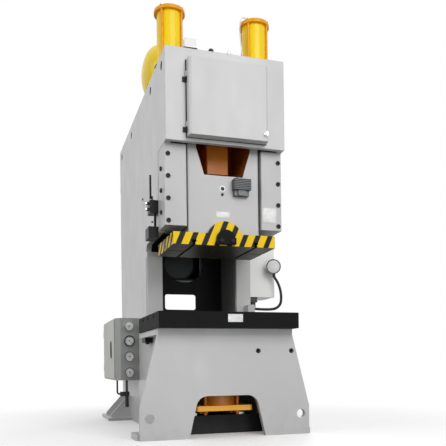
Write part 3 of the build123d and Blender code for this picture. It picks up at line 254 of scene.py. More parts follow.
@dataclass(frozen=True)
class Paint:
    """A coat of machine paint with faint tone, orange peel, soft edges and some wear."""

    name: str
    colour: str
    roughness: float = 0.42
    tone: float = 0.05
    peel: float = 0.12
    wear: float = 0.25
    under: str = "#8d8c88"
    coat: float = 0.0
    soil: float = 0.0
    shine: float = 0.5

    CLOUDS = 2.2
    SMEARS = 9.0
    CHIPS = 95.0
    PEEL = 260.0
    PEEL_HIGH = 0.0006
    SOIL_PATCHES = 14.0
    SOIL_HIGH = 0.30
    SOIL_COLOUR = "#77736a"
    COAT_ROUGHNESS = 0.06

    def end(self, shader: Shader, colour: Value, rough: Value, shine: Value) -> bpy.types.Material:
        """Vary, soil and wear a coat's colour and join it all to the shader.

        Args:
            shader: The material being made.
            colour: The coat's colour or output socket.
            rough: Its roughness or output socket.
            shine: Its reflection level or output socket.

        Returns:
            The finished material.
        """
        dark = (1.0 - self.tone * 2,) * 3 + (1.0,)
        clouds = shader.span(shader.noise(self.CLOUDS, 4.0), 0.35, 0.68)
        mixed = shader.blend(1.0, colour, shader.blend(clouds, WHITE, dark), "MULTIPLY")
        if self.soil:
            low = shader.span(shader.split()["Z"], self.SOIL_HIGH, 0.0)
            patch = shader.math("MULTIPLY", low, shader.span(shader.noise(self.SOIL_PATCHES, 5.0), 0.35, 0.7))
            mixed = shader.blend(shader.math("MULTIPLY", patch, self.soil), mixed, colour_of(self.SOIL_COLOUR))
        soft, mask = shader.edges(PAINT_EDGE)
        chips = shader.span(shader.noise(self.CHIPS, 5.0, rough=0.65), 0.60, 0.68)
        worn = shader.math("MULTIPLY", shader.math("MULTIPLY", mask, chips), self.wear)
        mixed = shader.blend(worn, mixed, colour_of(self.under))
        shader.fill(Base_Color=mixed, Roughness=rough, Specular_IOR_Level=shine)
        shader.fill(Coat_Weight=self.coat, Coat_Roughness=self.COAT_ROUGHNESS)
        shader.bump(shader.noise(self.PEEL, 2.0), self.peel, self.PEEL_HIGH, soft)
        return shader.material

    def material(self) -> bpy.types.Material:
        """Make the material.

        Returns:
            The finished material.
        """
        shader = Shader(self.name)
        smear = shader.noise(self.SMEARS, 4.0, (1.0, 1.0, 0.35))
        rough = shader.span(smear, 0.3, 0.7, self.roughness - 0.06, self.roughness + 0.08)
        return self.end(shader, colour_of(self.colour), rough, self.shine)


@dataclass(frozen=True)
class Stripes:
    """Slanted two-colour warning stripes on an upright face."""

    pitch: float
    slant: float
    start: float
    share: float
    light: str = "#fdd20a"
    dark: str = "#12110e"

    def colour(self, shader: Shader, along: Socket, height: Socket) -> Socket:
        """Colour of the stripes at a spot.

        Args:
            shader: The material being made.
            along: Output socket of the way along the face in metres.
            height: Output socket of the height in metres.

        Returns:
            Output socket of the colour.
        """
        lean = shader.math("MULTIPLY", height, -self.slant)
        run = shader.math("ADD", shader.math("ADD", along, lean), -self.start * MM)
        phase = shader.math("FRACT", shader.math("DIVIDE", run, self.pitch * MM))
        later = shader.span(phase, self.share - 0.012, self.share + 0.012)
        return shader.blend(later, colour_of(self.light), colour_of(self.dark))


FRONT_STRIPES = Stripes(pitch=100.0, slant=0.42, start=-563.5, share=0.57)
SIDE_STRIPES = Stripes(pitch=127.0, slant=1.1, start=-724.0, share=0.5)
STRIPE_SHINE = 0.15


@dataclass(frozen=True)
class BoxedPaint(Paint):
    """Paint that is another colour inside a box of the press drawing."""

    inner: str = "#17181a"
    low: Point = ORIGIN
    high: Point = ORIGIN

    def boxed(self, shader: Shader) -> Socket:
        """Colour of a spot, inside or outside the box.

        Args:
            shader: The material being made.

        Returns:
            Output socket of the colour.
        """
        split = shader.split()
        inside = 1.0
        for axis, low, high in zip("XYZ", at(*self.low), at(*self.high)):
            above = shader.math("GREATER_THAN", split[axis], low)
            under = shader.math("LESS_THAN", split[axis], high)
            inside = shader.math("MULTIPLY", shader.math("MULTIPLY", above, under), inside)
        return shader.blend(inside, colour_of(self.colour), colour_of(self.inner))

    def material(self) -> bpy.types.Material:
        """Make the material."""
        shader = Shader(self.name)
        return self.end(shader, self.boxed(shader), self.roughness, self.shine)


@dataclass(frozen=True)
class SlidePaint(BoxedPaint):
    """Press paint on the slide, another colour in its open pocket, and stripes before hump."""

    hump: float = 94.5

    def material(self) -> bpy.types.Material:
        """Make the material.

        Returns:
            The finished material.
        """
        shader = Shader(self.name)
        split = shader.split()
        taped = shader.math("LESS_THAN", split["Y"], at(0, self.hump, 0).y)
        stripes = FRONT_STRIPES.colour(shader, split["X"], split["Z"])
        colour = shader.blend(taped, self.boxed(shader), stripes)
        return self.end(shader, colour, self.roughness, shader.span(taped, 0.0, 1.0, self.shine, STRIPE_SHINE))


@dataclass(frozen=True)
class FlangePaint(Paint):
    """Warning stripes round the slide's flange; its flat and inner faces take a dark olive that paints the shade under
    and inside it.
    """

    # Dark olive that paints the shade on the flange's flat and inner faces.
    beneath: str = "#4f4b3c"
    half: float = 402.0
    front: float = 72.0
    back: float = 627.0

    def material(self) -> bpy.types.Material:
        """Make the material.

        Returns:
            The finished material.
        """
        shader = Shader(self.name)
        split = shader.split()
        facing = shader.split(shader.put("ShaderNodeNewGeometry").outputs["Normal"])
        sideways = shader.math("GREATER_THAN", shader.math("ABSOLUTE", facing["X"]), 0.75)
        level = shader.math("GREATER_THAN", shader.math("ABSOLUTE", facing["Z"]), 0.7)
        front = FRONT_STRIPES.colour(shader, split["X"], split["Z"])
        side = SIDE_STRIPES.colour(shader, shader.math("MULTIPLY", split["Y"], -1.0), split["Z"])
        rim = shader.math("GREATER_THAN", shader.math("ABSOLUTE", split["X"]), self.half * MM)
        rim = shader.math("MAXIMUM", rim, shader.math("LESS_THAN", split["Y"], at(0, self.front, 0).y))
        rim = shader.math("MAXIMUM", rim, shader.math("GREATER_THAN", split["Y"], at(0, self.back, 0).y))
        in_shade = shader.math("MAXIMUM", level, shader.math("SUBTRACT", 1.0, rim))
        colour = shader.blend(in_shade, shader.blend(sideways, front, side), colour_of(self.beneath))
        return self.end(shader, colour, self.roughness, STRIPE_SHINE)


class Grain(Enum):
    """Direction of the tool marks on machined metal."""

    NONE = (1, 1, 1)
    ALONG_X = (0.04, 1, 1)
    ALONG_Y = (1, 0.04, 1)
    ALONG_Z = (1, 1, 0.04)


@dataclass(frozen=True)
class Metal:
    """Bare, plated or blackened metal with tool marks and soft bright edges."""

    name: str
    colour: str
    roughness: float = 0.3
    grain: Grain = Grain.NONE
    marks: float = 0.1
    tone: float = 0.12
    metallic: float = 1.0
    bright: float = 0.0
    shine: float = 0.5

    MARKS = 420.0
    MARKS_HIGH = 0.0004
    CLOUDS = 7.0
    EDGE_COLOUR = "#9a9a98"

    def material(self) -> bpy.types.Material:
        """Make the material.

        Returns:
            The finished material.
        """
        shader = Shader(self.name)
        marks = shader.noise(self.MARKS, 3.0, self.grain.value, 0.6)
        clouds = shader.span(shader.noise(self.CLOUDS, 5.0), 0.3, 0.7)
        base = colour_of(self.colour)
        deep = tuple(part * (1 - self.tone) for part in base[:3]) + (1.0,)
        mixed = shader.blend(clouds, base, deep)
        soft, mask = shader.edges(METAL_EDGE)
        if self.bright:
            mixed = shader.blend(shader.math("MULTIPLY", mask, self.bright), mixed, colour_of(self.EDGE_COLOUR))
        rough = shader.span(marks, 0.25, 0.75, self.roughness - 0.07, self.roughness + 0.1)
        shader.fill(Base_Color=mixed, Roughness=rough, Metallic=self.metallic, Specular_IOR_Level=self.shine)
        shader.bump(marks, self.marks, self.MARKS_HIGH, soft)
        return shader.material


@dataclass(frozen=True)
class Plain:
    """Plastic or rubber with a fine moulded grain."""

    name: str
    colour: str
    roughness: float = 0.55
    grain: float = 700.0
    depth: float = 0.15

    PATCHES = 22.0
    GRAIN_HIGH = 0.0004

    def material(self) -> bpy.types.Material:
        """Make the material.

        Returns:
            The finished material.
        """
        shader = Shader(self.name)
        base = colour_of(self.colour)
        lift = tuple(min(1.0, part * 1.25 + 0.004) for part in base[:3]) + (1.0,)
        mixed = shader.blend(shader.span(shader.noise(self.PATCHES, 4.0), 0.35, 0.7), base, lift)
        fine = shader.noise(self.grain, 2.0)
        soft, _ = shader.edges(PLASTIC_EDGE)
        rough = shader.span(fine, 0.3, 0.7, self.roughness - 0.05, self.roughness + 0.07)
        shader.fill(Base_Color=mixed, Roughness=rough)
        shader.bump(fine, self.depth, self.GRAIN_HIGH, soft)
        return shader.material


@dataclass(frozen=True)
class ClearGlass:
    """Thin clear glass or a frosted lens."""

    name: str
    roughness: float = 0.02
    clear: float = 1.0

    RIPPLES = 40.0
    RIPPLES_HIGH = 0.0005
    REFRACTION = 1.45

    def material(self) -> bpy.types.Material:
        """Make the material.

        Returns:
            The finished material.
        """
        shader = Shader(self.name)
        ripple = shader.noise(self.RIPPLES, 2.0)
        rough = shader.span(ripple, 0.3, 0.7, self.roughness, self.roughness + 0.03)
        tint = shader.blend(ripple, WHITE, colour_of("#f4f6f6"))
        shader.fill(Base_Color=tint, Roughness=rough, Transmission_Weight=self.clear, IOR=self.REFRACTION)
        shader.bump(ripple, 0.02, self.RIPPLES_HIGH)
        return shader.material


RECIPES = (
    Paint("press_grey", "#cdcdcd", 0.36, 0.02, 0.10, 0.3, soil=0.12),
    # The gibs' grey is the press grey made darker, to paint the shade on the gib blocks.
    Paint("gib_grey", "#c4c4c4", 0.36, 0.02, 0.10, 0.3),
    # Dark grey that paints the shade inside the frame: on its inner walls, motor shelf, their welds and the rear
    # sheet.
    Paint("shaded_grey", "#333434", 0.6, 0.10, 0.14, 0.2, "#5c5c5a", shine=0.17),
    # The slide's grey is the press grey made darker, to paint the shade the head cover casts on the slide.
    SlidePaint(
        "slide_grey", "#c3c3c3", 0.34, 0.02, 0.08, 0.3, inner="#b9692a",
        low=(-218.6, 95.4, 2006), high=(218.6, 561, 9999)),
    FlangePaint("warning_stripes", "#ffd92a", 0.38, 0.02, 0.10, 0.2),
    Paint("gloss_yellow", "#ffdc06", 0.3, 0.02, 0.05, 0.1, "#a87c22", coat=0.2, shine=0.25),
    # The caps are the cylinders' yellow; this deeper orange paints the shade on them as seen from below.
    Paint("cap_yellow", "#f5a505", 0.28, 0.02, 0.06, 0.15, "#a87c22", coat=0.12, shine=0.25),
    Paint("press_orange", "#ffb41e", 0.35, 0.06, 0.12, 0.3, "#6a4318"),
    Paint("rod_orange", "#d9821f", 0.42, 0.12, 0.16, 0.3, "#6a4318"),
    Paint("cabinet_white", "#fbfbf9", 0.4, 0.02, 0.16, 0.15),
    BoxedPaint(
        "fittings_white", "#f0f1ef", 0.4, 0.02, 0.16, 0.15, low=(-150, -10, 2904), high=(-70, 70, 2990)),
    BoxedPaint(
        "lamp_arm_black", "#17181a", 0.42, 0.02, 0.12, 0.0, inner="#c9c9c9",
        low=(409, 714, 1012), high=(474.1, 816, 1084)),
    BoxedPaint(
        "plugged_white", "#fbfbf9", 0.4, 0.02, 0.16, 0.15, low=(470, 840, 1070), high=(560, 930, 1164.85)),
    Paint("panel_grey", "#a9aba8", 0.45, 0.04, 0.2, 0.2, "#6c6d6b"),
    BoxedPaint(
        "door_grey", "#bfc0ba", 0.45, 0.04, 0.2, 0.2, "#8c8d8b",
        low=(-702, 1551.5, 621.5), high=(-685.2, 1632.5, 792.5)),
    Paint("motor_grey", "#4b5054", 0.45, 0.08, 0.22, 0.3, "#8b8c8c"),
    Metal("black_bolster", "#1a1a1b", 0.62, Grain.ALONG_X, 0.12, 0.2, 0.0, bright=0.12, shine=0.08),
    Metal("black_bolt", "#1b1b1c", 0.42, Grain.NONE, 0.1, 0.2, 0.7, bright=0.5),
    Metal("ground_steel", "#b9bbbd", 0.28, Grain.ALONG_Z, 0.1),
    Metal("bright_shaft", "#c6c8ca", 0.2, Grain.ALONG_Y, 0.06),
    Metal("grey_alloy", "#8e9092", 0.42, Grain.NONE, 0.25, 0.15),
    Metal("dull_alloy", "#66686a", 0.5, Grain.NONE, 0.25, 0.15, 0.7),
    Metal("gauge_steel", "#a3a5a7", 0.3, Grain.NONE, 0.04, 0.1),
    Metal("bearing_bronze", "#b08348", 0.33, Grain.ALONG_Y, 0.1),
    # Bronze made dark to paint the shadow in the gaps between the slide and the gibs.
    Metal("oiled_bronze", "#3a2c1a", 0.4, Grain.ALONG_Z, 0.1),
    Metal("chromed", "#dddfe0", 0.08, Grain.NONE, 0.02, 0.04),
    Metal("zinc", "#c9cbc8", 0.34, Grain.NONE, 0.12, 0.14),
    Plain("black_rubber", "#141414", 0.7, 500.0, 0.25),
    Plain("black_plastic", "#17181a", 0.42, 800.0, 0.12),
    Plain("dial_white", "#f3f3ef", 0.5, 900.0, 0.04),
    Plain("ink_black", "#101010", 0.5, 900.0, 0.05),
    Plain("plate_white", "#dedfdd", 0.33, 600.0, 0.05),
    Plain("lamp_white", "#f6f7f5", 0.35, 600.0, 0.05),
    ClearGlass("clear_glass"),
    ClearGlass("lamp_lens", 0.3, 0.12),
)


# Meshes


class Shape:
    """A mesh being built in the millimetres of the press drawing."""

    def __init__(self) -> None:
        """Start with nothing."""
        self.mesh = bmesh.new()

    def box(self, low: Point, high: Point, bevel: float = 0.0) -> "Shape":
        """Add a box.

        Args:
            low: Lowest corner.
            high: Highest corner.
            bevel: Width of its bevelled edges.

        Returns:
            This shape.
        """
        size = [high[axis] - low[axis] for axis in range(3)]
        middle = [(high[axis] + low[axis]) / 2 for axis in range(3)]
        place = Matrix.Translation(middle) @ Matrix.Diagonal((*size, 1.0))
        made = bmesh.ops.create_cube(self.mesh, size=1.0, matrix=place)["verts"]
        if bevel:
            edges = {edge for vert in made for edge in vert.link_edges}
            bmesh.ops.bevel(self.mesh, geom=list(edges), offset=bevel, segments=2, affect="EDGES", profile=0.6)
        return self

    def turned(
        self, profile: Outline, centre: Point = ORIGIN, facing: Facing = Facing.UP, steps: int = 32,
    ) -> "Shape":
        """Add a shape turned about an axis.

        Args:
            profile: Radius and height of each point, from one end of the axis to the other.
            centre: Where the axis starts.
            facing: Where the axis points.
            steps: Sides of the round.

        Returns:
            This shape.
        """
        place = Matrix.Translation(centre) @ facing.turn()
        angles = [2 * math.pi * step / steps for step in range(steps)]
        rings = []
        for radius, height in profile:
            round_it = [(radius * math.cos(a), radius * math.sin(a)) for a in angles] if radius > 0 else [(0, 0)]
            rings.append([self.mesh.verts.new(place @ Vector((x, y, height))) for x, y in round_it])
        for lower, upper in zip(rings, rings[1:]):
            for step in range(steps):
                corners = [lower[step % len(lower)], lower[(step + 1) % len(lower)]]
                corners += [upper[(step + 1) % len(upper)], upper[step % len(upper)]]
                corners = list(dict.fromkeys(corners))
                if len(corners) > 2:
                    self.mesh.faces.new(corners)
        return self

    def prism(self, outline: Outline, centre: Point, facing: Facing, high: float) -> "Shape":
        """Add a flat outline made thick.

        Args:
            outline: Corners in the plane that the piece stands on.
            centre: Where the outline's origin lies.
            facing: Where the thickness grows.
            high: The thickness.

        Returns:
            This shape.
        """
        place = Matrix.Translation(centre) @ facing.turn()
        low, top = (
            [self.mesh.verts.new(place @ Vector((x, y, level))) for x, y in outline] for level in (0, high)
        )
        self.mesh.faces.new(low)
        self.mesh.faces.new(top)
        for step in range(len(low)):
            after = (step + 1) % len(low)
            self.mesh.faces.new([low[step], low[after], top[after], top[step]])
        return self

    def moved(self, place: Matrix) -> "Shape":
        """Move and turn everything added so far, and return this shape."""
        bmesh.ops.transform(self.mesh, matrix=place, verts=self.mesh.verts)
        return self

    def plain_mesh(self, name: str, shift: float = ANCHOR_DEPTH) -> bpy.types.Mesh:
        """End the shape as a mesh in metres.

        Args:
            name: Name of the mesh.
            shift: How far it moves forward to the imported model's place.

        Returns:
            The mesh.
        """
        bmesh.ops.recalc_face_normals(self.mesh, faces=self.mesh.faces)
        for face in self.mesh.faces:
            face.smooth = True
        made = bpy.data.meshes.new(name)
        self.mesh.to_mesh(made)
        self.mesh.free()
        made.transform(Matrix.Diagonal((MM, MM, MM, 1)) @ Matrix.Translation((0, -shift, 0)))
        made.set_sharp_from_angle(angle=SHARP_ANGLE)
        return made


def show(name: str, mesh: bpy.types.Mesh, finish: bpy.types.Material, body: str) -> None:
    """Put a finished mesh in the scene and let it ride on its body.

    Args:
        name: Name of the piece.
        mesh: Its mesh, in place.
        finish: Its material.
        body: The body that carries it.
    """
    mesh.materials.clear()
    mesh.materials.append(finish)
    made = bpy.data.objects.new(name, mesh)
    bpy.context.scene.collection.objects.link(made)
    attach(made, body)
    LOG.info("%s: %d faces on %s", name, len(mesh.polygons), body)


def screw_head(radius: float, high: float, profile: Outline, steps: int) -> Shape:
    """A round screw head on its origin, its profile given as shares of the radius and the height."""
    return Shape().turned([(radius * across, high * up) for across, up in profile], steps=steps)


CAP_HEAD = ((0, 0), (1, 0), (1, 0.82), (0.86, 1), (0.52, 1), (0.52, 0.45), (0, 0.45))
PAN_HEAD = ((0, 0), (1, 0), (0.96, 0.35), (0.7, 0.8), (0.25, 1), (0.25, 0.5), (0, 0.5))


def hex_screw(radius: float, high: float) -> Shape:
    """A hexagon head on its washer, standing on its origin.

    Args:
        radius: Radius over the corners.
        high: Height of the head.

    Returns:
        The shape.
    """
    washer = [(0, 0), (radius * 1.25, 0), (radius * 1.25, high * 0.2), (0, high * 0.2)]
    head = [(0, 0), (radius, 0), (radius, high * 0.6), (radius * 0.82, high * 0.8), (0, high * 0.8)]
    return Shape().turned(washer, steps=20).turned(head, (0, 0, high * 0.2), steps=6)


# Geometry node trees


class Tree(Nodes):
    """A geometry node tree with named inputs."""

    def __init__(self, name: str, **inputs: str) -> None:
        """Start the tree.

        Args:
            name: Name of the tree.
            **inputs: Kind of socket by input name, underscores standing for spaces.
        """
        self.group = bpy.data.node_groups.new(name, "GeometryNodeTree")
        super().__init__(self.group)
        face = self.group.interface
        face.new_socket("Geometry", in_out="INPUT", socket_type="NodeSocketGeometry")
        self.keys = {}
        for label, kind in {**inputs, "Finish": "Material"}.items():
            label = label.replace("_", " ")
            self.keys[label] = face.new_socket(label, in_out="INPUT", socket_type="NodeSocket" + kind).identifier
        face.new_socket("Geometry", in_out="OUTPUT", socket_type="NodeSocketGeometry")
        self.given = self.put("NodeGroupInput").outputs
        self.end = self.put("NodeGroupOutput")

    def close(self, instances: Socket) -> "Tree":
        """Realize the instances, set the finish and join the output.

        Args:
            instances: Output socket of the geometry.

        Returns:
            This tree.
        """
        real = self.put("GeometryNodeRealizeInstances", {0: instances}).outputs[0]
        dressed = self.put("GeometryNodeSetMaterial", {0: real, "Material": self.given["Finish"]})
        self.join(self.end.inputs[0], dressed.outputs[0])
        return self

    def grow(self, carrier: bpy.types.Object, values: dict[str, object]) -> None:
        """Set the tree on a carrier as its only modifier.

        Args:
            carrier: Object whose geometry goes in.
            values: Input values by name.
        """
        modifier = carrier.modifiers.new("grow", "NODES")
        modifier.node_group = self.group
        for label, value in values.items():
            modifier[self.keys[label]] = value


class Repeats:
    """Trees for what repeats: pieces at spots, and rings or a bead along a path."""

    BEAD_STEP = 0.006
    BEAD_SEED = 7

    def __init__(self, finishes: dict[str, bpy.types.Material]) -> None:
        """Build the three trees.

        Args:
            finishes: The press's materials by name.
        """
        self.finishes = finishes
        self.spots = self._spots_tree()
        self.rings = self._rings_tree()
        self.bead = self._bead_tree()

    def _spots_tree(self) -> Tree:
        """Tree that sets a piece on every spot of a point cloud, turned by its attribute.

        Returns:
            The tree.
        """
        tree = Tree("pieces_on_spots", Piece="Object", Size="Float")
        piece = tree.put("GeometryNodeObjectInfo", {"Object": tree.given["Piece"]}).outputs["Geometry"]
        turn = tree.put("GeometryNodeInputNamedAttribute", {"Name": "turn"}, data_type="FLOAT_VECTOR")
        angle = tree.put("FunctionNodeEulerToRotation", {0: turn.outputs["Attribute"]}).outputs[0]
        return tree.close(tree.put("GeometryNodeInstanceOnPoints", {
            "Points": tree.given["Geometry"], "Instance": piece, "Rotation": angle, "Scale": tree.given["Size"],
        }).outputs[0])

    def _rings_tree(self) -> Tree:
        """Tree that sets rings along a curve.

        Returns:
            The tree.
        """
        tree = Tree("rings_on_path", Count="Int", Ring_radius="Float", Wire_radius="Float")
        points = tree.put("GeometryNodeCurveToPoints", {
            "Curve": tree.given["Geometry"], "Count": tree.given["Count"],
        }, mode="COUNT").outputs
        circle, wire = (
            tree.put("GeometryNodeCurvePrimitiveCircle", {"Resolution": sides, "Radius": tree.given[radius]})
            for sides, radius in ((16, "Ring radius"), (6, "Wire radius"))
        )
        ring = tree.put("GeometryNodeCurveToMesh", {0: circle.outputs[0], 1: wire.outputs[0]}).outputs[0]
        return tree.close(tree.put("GeometryNodeInstanceOnPoints", {
            "Points": points["Points"], "Instance": ring, "Rotation": points["Rotation"],
        }).outputs[0])

    def _bead_tree(self) -> Tree:
        """Tree that lays a rippled weld bead along a curve.

        Returns:
            The tree.
        """
        tree = Tree("bead_on_path", Width="Float", Step="Float", Seed="Int")
        given = tree.given
        fine = tree.put(
            "GeometryNodeResampleCurve", {"Curve": given["Geometry"], "Length": given["Step"]}, mode="LENGTH")
        profile = tree.put("GeometryNodeCurvePrimitiveCircle", {"Resolution": 8, "Radius": given["Width"]})
        random = tree.put("FunctionNodeRandomValue", {2: 0.82, 3: 1.1, "Seed": given["Seed"]}, data_type="FLOAT")
        body = tree.put("GeometryNodeSetCurveRadius", {"Curve": fine.outputs[0], "Radius": random.outputs[1]})
        width = tree.put("GeometryNodeInputRadius").outputs[0]
        mesh = tree.put("GeometryNodeCurveToMesh", {
            0: body.outputs[0], 1: profile.outputs[0], "Scale": width, "Fill Caps": True,
        })
        return tree.close(tree.put("GeometryNodeSetShadeSmooth", {0: mesh.outputs[0]}).outputs[0])

    def path(self, routes: Sequence[Sequence[Point]], smooth: bool = False) -> bpy.types.Object:
        """A scratch curve through points of the press drawing.

        Args:
            routes: Points of each stretch.
            smooth: Whether the stretches are smooth curves.

        Returns:
            The curve object.
        """
        curve = bpy.data.curves.new("route", "CURVE")
        curve.dimensions = "3D"
        for route in routes:
            line = curve.splines.new("NURBS" if smooth else "POLY")
            line.points.add(len(route) - 1)
            for spot, place in zip(line.points, route):
                spot.co = (*at(*place), 1.0)
            if smooth:
                line.order_u = 3
                line.use_endpoint_u = True
        made = bpy.data.objects.new("route", curve)
        bpy.context.scene.collection.objects.link(made)
        return made

    def harvest(self, name: str, carrier: bpy.types.Object, finish: str, body: str) -> None:
        """Turn a carrier into a plain mesh, remove it and show the mesh.

        Args:
            name: Name of the finished piece.
            carrier: Object with its modifier or its bevelled curve.
            finish: Name of its finish.
            body: The body that carries it.
        """
        bpy.context.view_layer.update()
        graph = bpy.context.evaluated_depsgraph_get()
        mesh = bpy.data.meshes.new_from_object(carrier.evaluated_get(graph))
        mesh.name = name
        bpy.data.objects.remove(carrier)
        show(name, mesh, self.finishes[finish], body)

    def scatter(
        self, name: str, piece: Shape, spots: Sequence[tuple[Point, Facing]], finish: str, body: str = "frame",
    ) -> None:
        """Set one small piece on many spots.

        Args:
            name: Name of the finished piece.
            piece: The small shape, standing on its origin and facing up.
            spots: Where each goes and faces.
            finish: Name of its finish.
            body: The body that carries them.
        """
        cloud = bpy.data.meshes.new("spots")
        cloud.from_pydata([at(*place) for place, _ in spots], [], [])
        turn = cloud.attributes.new("turn", "FLOAT_VECTOR", "POINT")
        for number, (_, facing) in enumerate(spots):
            turn.data[number].vector = facing.turn().to_euler()
        carrier = bpy.data.objects.new("spots", cloud)
        small = bpy.data.objects.new("small", piece.plain_mesh("small", 0.0))
        for scratch in (carrier, small):
            bpy.context.scene.collection.objects.link(scratch)
        self.spots.grow(carrier, {"Piece": small, "Size": 1.0, "Finish": self.finishes[finish]})
        self.harvest(name, carrier, finish, body)
        bpy.data.objects.remove(small)

    def ringed(self, name: str, route: Sequence[Point], count: int, radius: float, wire: float, finish: str) -> None:
        """Set rings along a smooth route on the frame.

        Args:
            name: Name of the finished piece.
            route: Points of the route.
            count: How many rings.
            radius: Radius of a ring.
            wire: Radius of its wire.
            finish: Name of its finish.
        """
        carrier = self.path([route], True)
        values = {"Count": count, "Ring radius": radius * MM, "Wire radius": wire * MM}
        self.rings.grow(carrier, {**values, "Finish": self.finishes[finish]})
        self.harvest(name, carrier, finish, "frame")

    def welded(self, name: str, routes: Sequence[Sequence[Point]], width: float, finish: str) -> None:
        """Lay weld beads along straight routes on the frame.

        Args:
            name: Name of the finished piece.
            routes: Points of each bead.
            width: Radius of the bead.
            finish: Name of its finish.
        """
        carrier = self.path(routes)
        values = {"Width": width * MM, "Step": self.BEAD_STEP, "Seed": self.BEAD_SEED}
        self.bead.grow(carrier, {**values, "Finish": self.finishes[finish]})
        self.harvest(name, carrier, finish, "frame")

    def pipe(self, name: str, route: Sequence[Point], radius: float, finish: str, body: str = "frame") -> None:
        """A smooth round pipe along a route.

        Args:
            name: Name of the finished piece.
            route: Points of the route.
            radius: Radius of the pipe.
            finish: Name of its finish.
            body: The body that carries it.
        """
        carrier = self.path([route], True)
        carrier.data.bevel_depth = radius * MM
        carrier.data.bevel_resolution = 3
        carrier.data.use_fill_caps = True
        carrier.data.resolution_u = 8
        for line in carrier.data.splines:
            line.use_smooth = True
        self.harvest(name, carrier, finish, body)


# Sub-assemblies


@dataclass
class SubAssembly:
    """One part of the press that is dressed and given its small pieces."""

    frame: dict
    finishes: dict[str, bpy.types.Material]
    repeats: Repeats

    COATS: ClassVar[dict[str, tuple[str, ...]]] = {}

    def dress(self) -> None:
        """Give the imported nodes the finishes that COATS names."""
        for finish, nodes in self.COATS.items():
            for node in nodes:
                mesh = self.frame["nodes"][node].data
                mesh.materials.clear()
                mesh.materials.append(self.finishes[finish])
                LOG.info("%s finished in %s", node, finish)

    def build(self) -> None:
        """Add the small pieces."""

    def piece(self, name: str, shape: Shape, finish: str, body: str = "frame") -> None:
        """End a shape and show it in a finish and on a body, both given by name."""
        show(name, shape.plain_mesh(name), self.finishes[finish], body)

    def plate(
        self, name: str, low: Point, high: Point, inset: float, facing: Facing = Facing.FRONT, body: str = "frame",
    ) -> None:
        """A blank plate held by a rivet in each corner.

        Args:
            name: Name of the plate.
            low: Its lowest corner.
            high: Its highest corner.
            inset: Distance of a rivet from the plate's edges.
            facing: Where its face points, to the front or to the right.
            body: The body that carries it.
        """
        self.piece(name, Shape().box(low, high, 0.6), "plate_white", body)
        along = 0 if facing is Facing.FRONT else 1
        spots = []
        for way in (low[along] + inset, high[along] - inset):
            for level in (low[2] + inset, high[2] - inset):
                place = (way, low[1], level) if facing is Facing.FRONT else (high[0], way, level)
                spots.append((place, facing))
        self.repeats.scatter(name + "_rivets", screw_head(3.2, 2.0, PAN_HEAD, 14), spots, "zinc", body)


@dataclass
class PressFrame(SubAssembly):
    """Side plates, base, bed, cross walls and feet."""

    side: float = 470.0
    foot_runs: Outline = ((1784.0, 1818.0), (1848.0, 2206.0), (2238.0, 2396.0))
    foot_top: float = 31.0
    foot_edge: float = 672.0
    gusset_faces: tuple[float, ...] = (1818.0, 1847.0, 2208.0, 2237.0)
    gusset_low: float = 34.0
    gusset_high: float = 236.0
    pad_front: float = 98.0
    pad_back: float = 292.0
    pad_top: float = 46.0
    column_edge: float = 471.528
    column_back: float = 855.0
    column_low: float = 832.0
    column_high: float = 1490.0
    wall_edge: float = 424.0
    wall_low: float = 8.0
    wall_high: float = 2210.0
    wall_faces: tuple[float, ...] = (1563.0, 1597.0)
    bead: float = 4.5
    wall_bead: float = 5.0
    screw_spots: Outline = ((985.0, 2026.0), (554.0, 1729.0))
    plug_face: float = 84.0
    plug_level: float = 658.0
    plug_spots: tuple[float, ...] = (252.0, 530.0)

    COATS = {
        "press_grey": (
            "side_plates", "base_front_plate", "bed_plate", "front_anchor_pads", "rear_feet", "column_flanges",
            "head_front_plate", "head_top_plate"),
        # The inner walls and the motor shelf take dark grey that paints the shade inside the frame.
        "shaded_grey": ("cross_walls", "bearing_walls", "motor_shelf"),
    }

    def build(self) -> None:
        """Add the weld beads, the side screws, the plugs and the cushion plate's blocks."""
        beads, wall, spots = [], [], []
        for side, facing in ((-1, Facing.LEFT), (1, Facing.RIGHT)):
            edge, top = side * (self.side + 2), self.foot_top
            beads += [[(edge, start, top), (edge, end, top)] for start, end in self.foot_runs]
            beads.append([(edge, self.pad_front, self.pad_top), (edge, self.pad_back, self.pad_top)])
            for depth in self.gusset_faces:
                beads.append([(edge, depth, self.gusset_low), (edge, depth, self.gusset_high)])
                beads.append([(side * (self.side + 4), depth, top), (side * self.foot_edge, depth, top)])
            edge, back = side * self.column_edge, self.column_back
            beads.append([(edge, back, self.column_low), (edge, back + 1, self.column_high)])
            edge = side * self.wall_edge
            wall += [[(edge, depth, self.wall_low), (edge, depth, self.wall_high)] for depth in self.wall_faces]
            spots += [((side * self.side, depth, level), facing) for depth, level in self.screw_spots]
        self.repeats.welded("frame_weld_beads", beads, self.bead, "press_grey")
        self.repeats.welded("wall_weld_beads", wall, self.wall_bead, "shaded_grey")
        self.repeats.scatter("side_plate_screws", screw_head(9, 7, CAP_HEAD, 20), spots, "black_bolt")
        plugs, profile = Shape(), [(0, 0), (19.5, 0), (19.5, 6), (9, 6), (9, 2), (0, 2)]
        for across in self.plug_spots:
            plugs.turned(profile, (across, self.plug_face, self.plug_level), Facing.FRONT, 28)
        self.piece("tapped_hole_plugs", plugs, "black_bolt")
        blocks = Shape().box((-225, 310, 150), (-178, 329, 172), 3).box((165, 310, 150), (222, 329, 172), 3)
        self.piece("cross_plate_blocks", blocks, "zinc")


@dataclass
class Bolster(SubAssembly):
    """Bolster plate with its blank plate."""

    front: float = -60.0

    COATS = {"black_bolster": ("bolster",), "black_bolt": ("bolster_screws",)}

    def build(self) -> None:
        """Add the blank plate on the front."""
        self.plate("bolster_blank_plate", (-27, self.front - 1.5, 873), (90, self.front, 932), 9)


